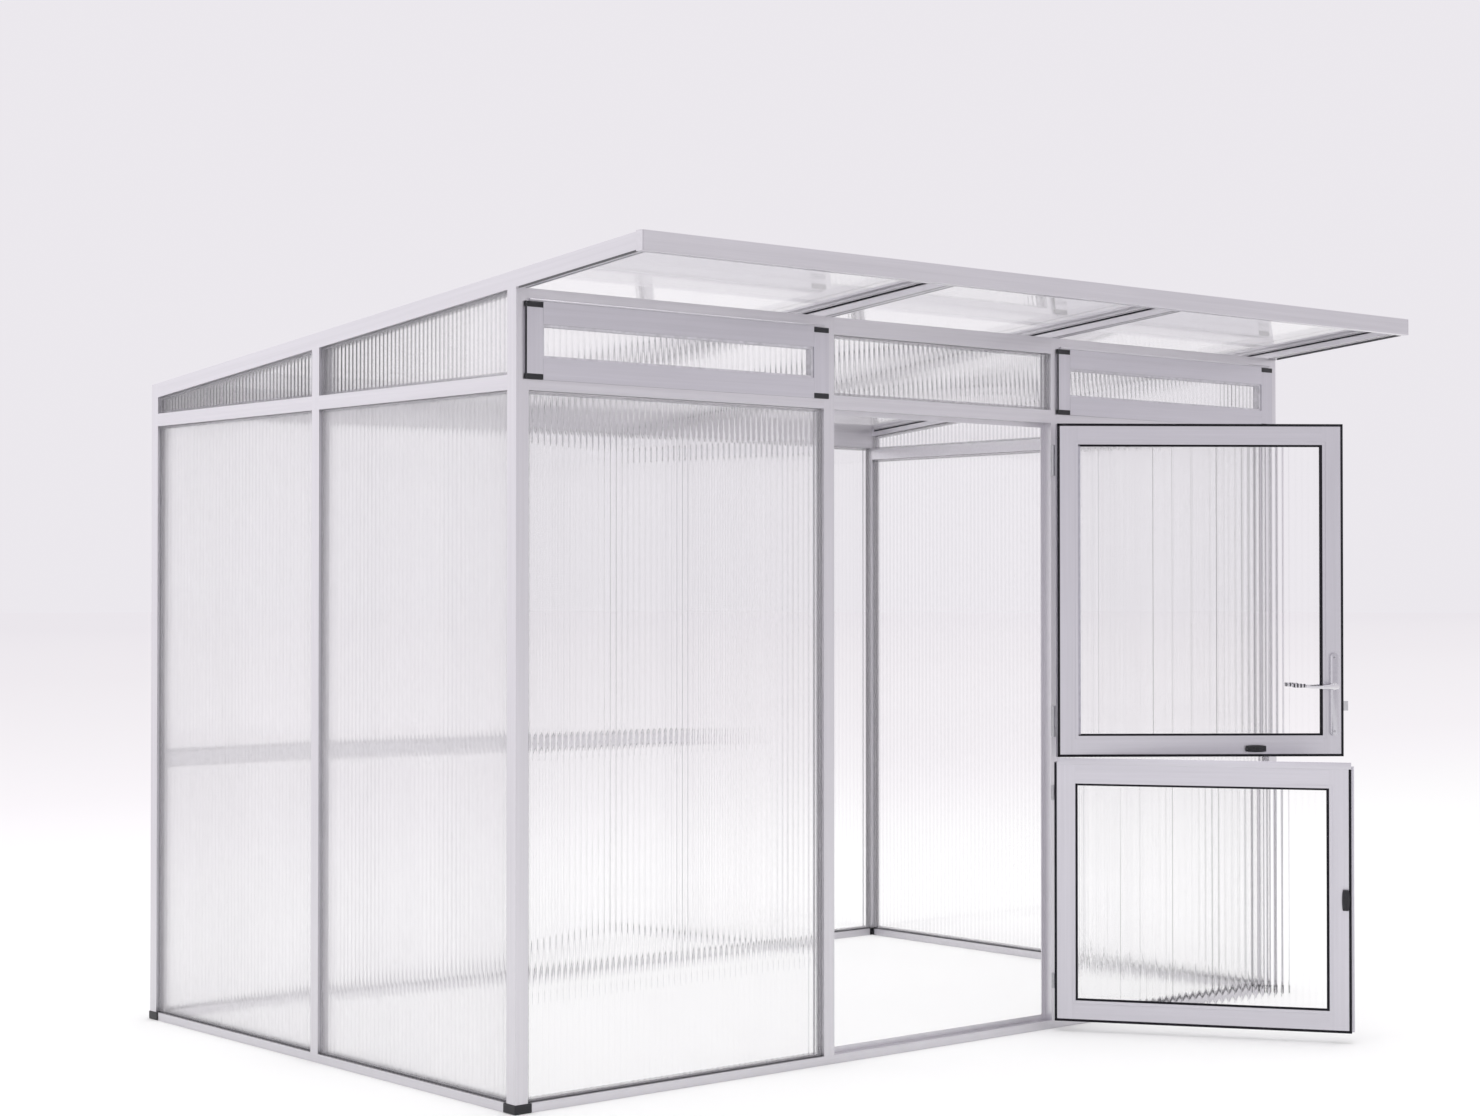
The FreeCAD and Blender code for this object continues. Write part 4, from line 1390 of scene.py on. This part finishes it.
    def build(self) -> None:
        """Model, dress and mount the lock's visible pieces."""
        latch = Plated("latch", Metals.LATCH, 0.3).material()
        dress(["lock_case"], latch)
        Bench.soften("latch_bolt", "bolt", latch, "steel", 0.0012)
        place = leaf_frame(Opening.UPPER)
        inner = self.inner_face + self.plate_thick
        outer = self.outer_face - self.plate_thick
        arms = [self.arm(inner, 1), self.arm(outer, -1)]
        x, z = -self.handle, self.height
        spindle = Bench.rod("spindle", self.spindle, (x, outer, z), (x, inner, z), 24)
        levers = Bench.place(Bench.merge("door_levers", arms + [spindle]), place)
        chrome = Plated("polished lever", Metals.CHROME, 0.10).material()
        Bench.complete(levers, "lever", chrome, "chrome", ["lever_handle"])
        grips = Bench.merge("lever_ringed_grips", [self.grip(inner, 1), self.grip(outer, -1)])
        Bench.place(grips, place)
        ringed = RingedGrip("ringed grip", Opening.UPPER.way).material()
        Bench.complete(grips, "lever", ringed, "grip_plastic", ["lever_grips"])
        plates = [self.plate(inner, 1), self.plate(outer, -1)]
        plates = Bench.place(Bench.merge("lock_cover_plates", plates), place)
        satin = Plated("satin plate", Metals.SATIN, 0.24).material()
        Bench.complete(plates, "upper_leaf", satin, "bright_aluminium", ["handle_cover_plates"])


@dataclass
class TurnButton:
    """A black button that turns over the neighbouring frame."""

    prefix: str
    opening: Opening
    along: float
    height: float
    upright: bool
    near: float = 0.041
    far: float = 0.050
    half_core: float = 0.004
    half_wide: float = 0.011
    steps: tuple[tuple[float, float], ...] = ((0.009, 0.975), (0.009, 0.93), (0.009, 0.86))
    ridge_at: float = 0.019
    ridge_half: tuple[float, float] = (0.010, 0.0016)
    ridge_sunk: float = 0.001
    ridge_proud: float = 0.0014

    def build(self) -> None:
        """Model the button as a bar that narrows to both ends, with a finger ridge on each."""
        middle = Vector((-self.along, (self.near + self.far) / 2, self.height))
        reach = Vector((0, 0, 1)) if self.upright else Vector((1, 0, 0))
        side = Vector((1, 0, 0)) if self.upright else Vector((0, 0, 1))
        thick = Vector((0, (self.far - self.near) / 2, 0))
        half = reach * self.half_core + side * self.half_wide + thick
        body = Bench.block(self.prefix + "_body", middle - half, middle + half)
        for way in (1, -1):
            steps = []
            for move, narrow in self.steps:
                scale = [1.0, 1.0, 1.0]
                scale[0 if self.upright else 2] = narrow
                steps.append((reach * move * way, scale))
            Bench.grow(body, lambda c, n, w=way: n.dot(reach) * w > 0.9, steps)
        Bench.round_edges(body, 0.0022, 3, lambda a, b: min(a.y, b.y) > self.far - TOUCH)
        Bench.blunt(body, 0.0006, 2)
        ridge_half = reach * self.ridge_half[0] + side * self.ridge_half[1]
        centre = middle + reach * self.ridge_at
        foot = Vector((0, self.far - self.ridge_sunk - middle.y, 0))
        top = Vector((0, self.far - middle.y + self.ridge_proud, 0))
        ridge = Bench.block("ridge", centre - ridge_half + foot, centre + ridge_half + top)
        Bench.round_edges(ridge, 0.0009, 2)
        other = Bench.copied(ridge, reach * (-2 * self.ridge_at))
        button = Bench.merge(self.prefix + "_button_cap", [body, ridge, other])
        Bench.place(button, leaf_frame(self.opening))
        black = MouldedPlastic(self.prefix + " button black", Blacks.BUTTON).material()
        node = self.prefix + "_turn_button"
        Bench.complete(button, self.prefix + "_button", black, "black_plastic", [node])


@dataclass
class Vent:
    """One top-hung vent."""

    prefix: str
    left: float
    low: float = 1.924
    high: float = 2.098
    edge_wide: float = 0.005
    edge_depths: tuple[float, float] = (-0.0268, -0.0235)

    @property
    def body(self) -> str:
        """The CAD body that the vent's pieces move with."""
        return self.prefix + "_vent"

    def finish(self) -> None:
        """Dress the vent's nodes."""
        stiles = DrawnAluminium(self.prefix + " vent stiles", Metals.LEAF, Run.UPRIGHT)
        rails = DrawnAluminium(self.prefix + " vent rails", Metals.LEAF, Run.ALONG_FRONT)
        black = MouldedPlastic(self.prefix + " caps", Blacks.FEET).material()
        for part, width, finish, slot in (
            ("_stiles", 0.0008, stiles.material(), "leaf_aluminium"),
            ("_rails", 0.0008, rails.material(), "leaf_aluminium"),
            ("_caps", 0.0012, black, "black_plastic"),
        ):
            Bench.soften(self.body + part, self.body, finish, slot, width)
        self.edge()
        name = self.prefix + " vent sheet"
        looks = {"slope": 0.5, "gloss": 1.8, "lines": 0.04, "milk": 0.1}
        sheet = RibbedSheet(name, ACROSS_FRONT, start=0.0, pitch=0.0199, **looks)
        dress([self.body + "_sheet"], sheet.material())
        seal = Rubber(self.prefix + " vent rubber", CLEAR_RUBBER).material()
        dress([self.body + "_seal"], seal)

    def edge(self) -> None:
        """Add the black strip down the vent's left edge."""
        low = (self.left, self.edge_depths[0], self.low)
        high = (self.left + self.edge_wide, self.edge_depths[1], self.high)
        strip = Bench.block(self.body + "_edge_strip", low, high)
        Bench.round_edges(strip, 0.0008, 2)
        rubber = Rubber(self.prefix + " vent edge").material()
        Bench.complete(strip, self.body, rubber, "black_rubber")


@dataclass
class Studio:
    """Floor, backdrop, lamps and camera."""

    lens: float = 62.26
    sensor: float = 36.0
    eye: tuple[float, float, float] = (-5.4549, -5.4451, 1.350)
    tilt: float = 0.794
    heading: float = 40.536
    sight: float = 500.0
    aim: tuple[float, float, float] = (0.0, 0.6, 1.0)
    floor_radius: float = 180.0
    floor_drop: float = 0.0005
    backdrop: Colour = (0.835, 0.81, 0.85)
    fill: Colour = (1.0, 0.99, 1.0)
    fill_strength: float = 1.02
    bounces: int = 24

    def camera(self) -> None:
        """Stand the camera where the picture was taken from."""
        data = bpy.data.cameras.new("camera")
        data.lens, data.sensor_width = self.lens, self.sensor
        data.clip_end = self.sight
        camera = bpy.data.objects.new("camera", data)
        camera.location = self.eye
        turn = math.radians(90 + self.tilt), 0.0, math.radians(-self.heading)
        camera.rotation_euler = turn
        bpy.context.scene.collection.objects.link(camera)
        bpy.context.scene.camera = camera

    def lamp(self, name: str, place: Sequence[float], side: float, power: float) -> None:
        """Add a square soft lamp that faces the building.

        Args:
            name: the lamp's name.
            place: where it stands.
            side: length of its side.
            power: its strength in watts.
        """
        data = bpy.data.lights.new(name, "AREA")
        data.shape, data.size, data.energy = "SQUARE", side, power
        lamp = bpy.data.objects.new(name, data)
        lamp.location = place
        way = Vector(self.aim) - Vector(place)
        lamp.rotation_euler = way.to_track_quat("-Z", "Y").to_euler()
        bpy.context.scene.collection.objects.link(lamp)

    def floor(self) -> None:
        """Lay a pale floor that keeps the building's shadow."""
        bpy.ops.mesh.primitive_circle_add(
            vertices=96, radius=self.floor_radius, fill_type="NGON"
        )
        floor = bpy.context.active_object
        floor.name = "floor"
        floor.location.z = -self.floor_drop
        floor.data.materials.append(PaleFloor("floor").material())

    def sky(self) -> None:
        """Light the set evenly, with a pale backdrop where it is seen."""
        world = bpy.data.worlds.new("studio")
        bpy.context.scene.world = world
        world.use_nodes = True
        shader = Shader(world.node_tree)
        seen, fill = (
            shader.node(
                "ShaderNodeBackground", {}, {"Color": (*colour, 1.0), "Strength": strength}
            )
            for colour, strength in ((self.backdrop, 1.0), (self.fill, self.fill_strength))
        )
        mixed = shader.mix(shader.rays(*VIEW_RAYS), fill, seen)
        shader.finish(mixed, "ShaderNodeOutputWorld")

    def build(self) -> None:
        """Set up the whole studio."""
        self.camera()
        self.floor()
        self.sky()
        self.lamp("left lamp", (-11.0, 16.0, 4.0), 10.0, 140.0)
        self.lamp("low lamp", (-12.0, -8.0, 3.0), 6.0, 52.0)
        self.lamp("top lamp", (0.0, 0.5, 8.0), 6.0, 200.0)
        scene = bpy.context.scene
        scene.view_settings.view_transform = "Standard"
        scene.cycles.max_bounces = self.bounces
        scene.cycles.transmission_bounces = self.bounces
        scene.cycles.transparent_max_bounces = self.bounces


def main() -> None:
    """Build the studio, dress the nodes and add the fittings."""
    logging.basicConfig(level=logging.INFO)
    bpy.ops.object.select_all(action="DESELECT")
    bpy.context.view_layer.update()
    Studio().build()
    Building().finish()
    DoorLeaf("upper", Opening.UPPER, (0.844, 1.877)).finish()
    DoorLeaf("lower", Opening.LOWER, (0.031, 0.829)).finish()
    LeverLock().build()
    TurnButton("upper", Opening.UPPER, 0.625, 0.869, False).build()
    TurnButton("lower", Opening.LOWER, 0.885, 0.430, True).build()
    Vent("left", -1.5555).finish()
    Vent("right", 0.4835).finish()


if __name__ == "__main__":
    main()
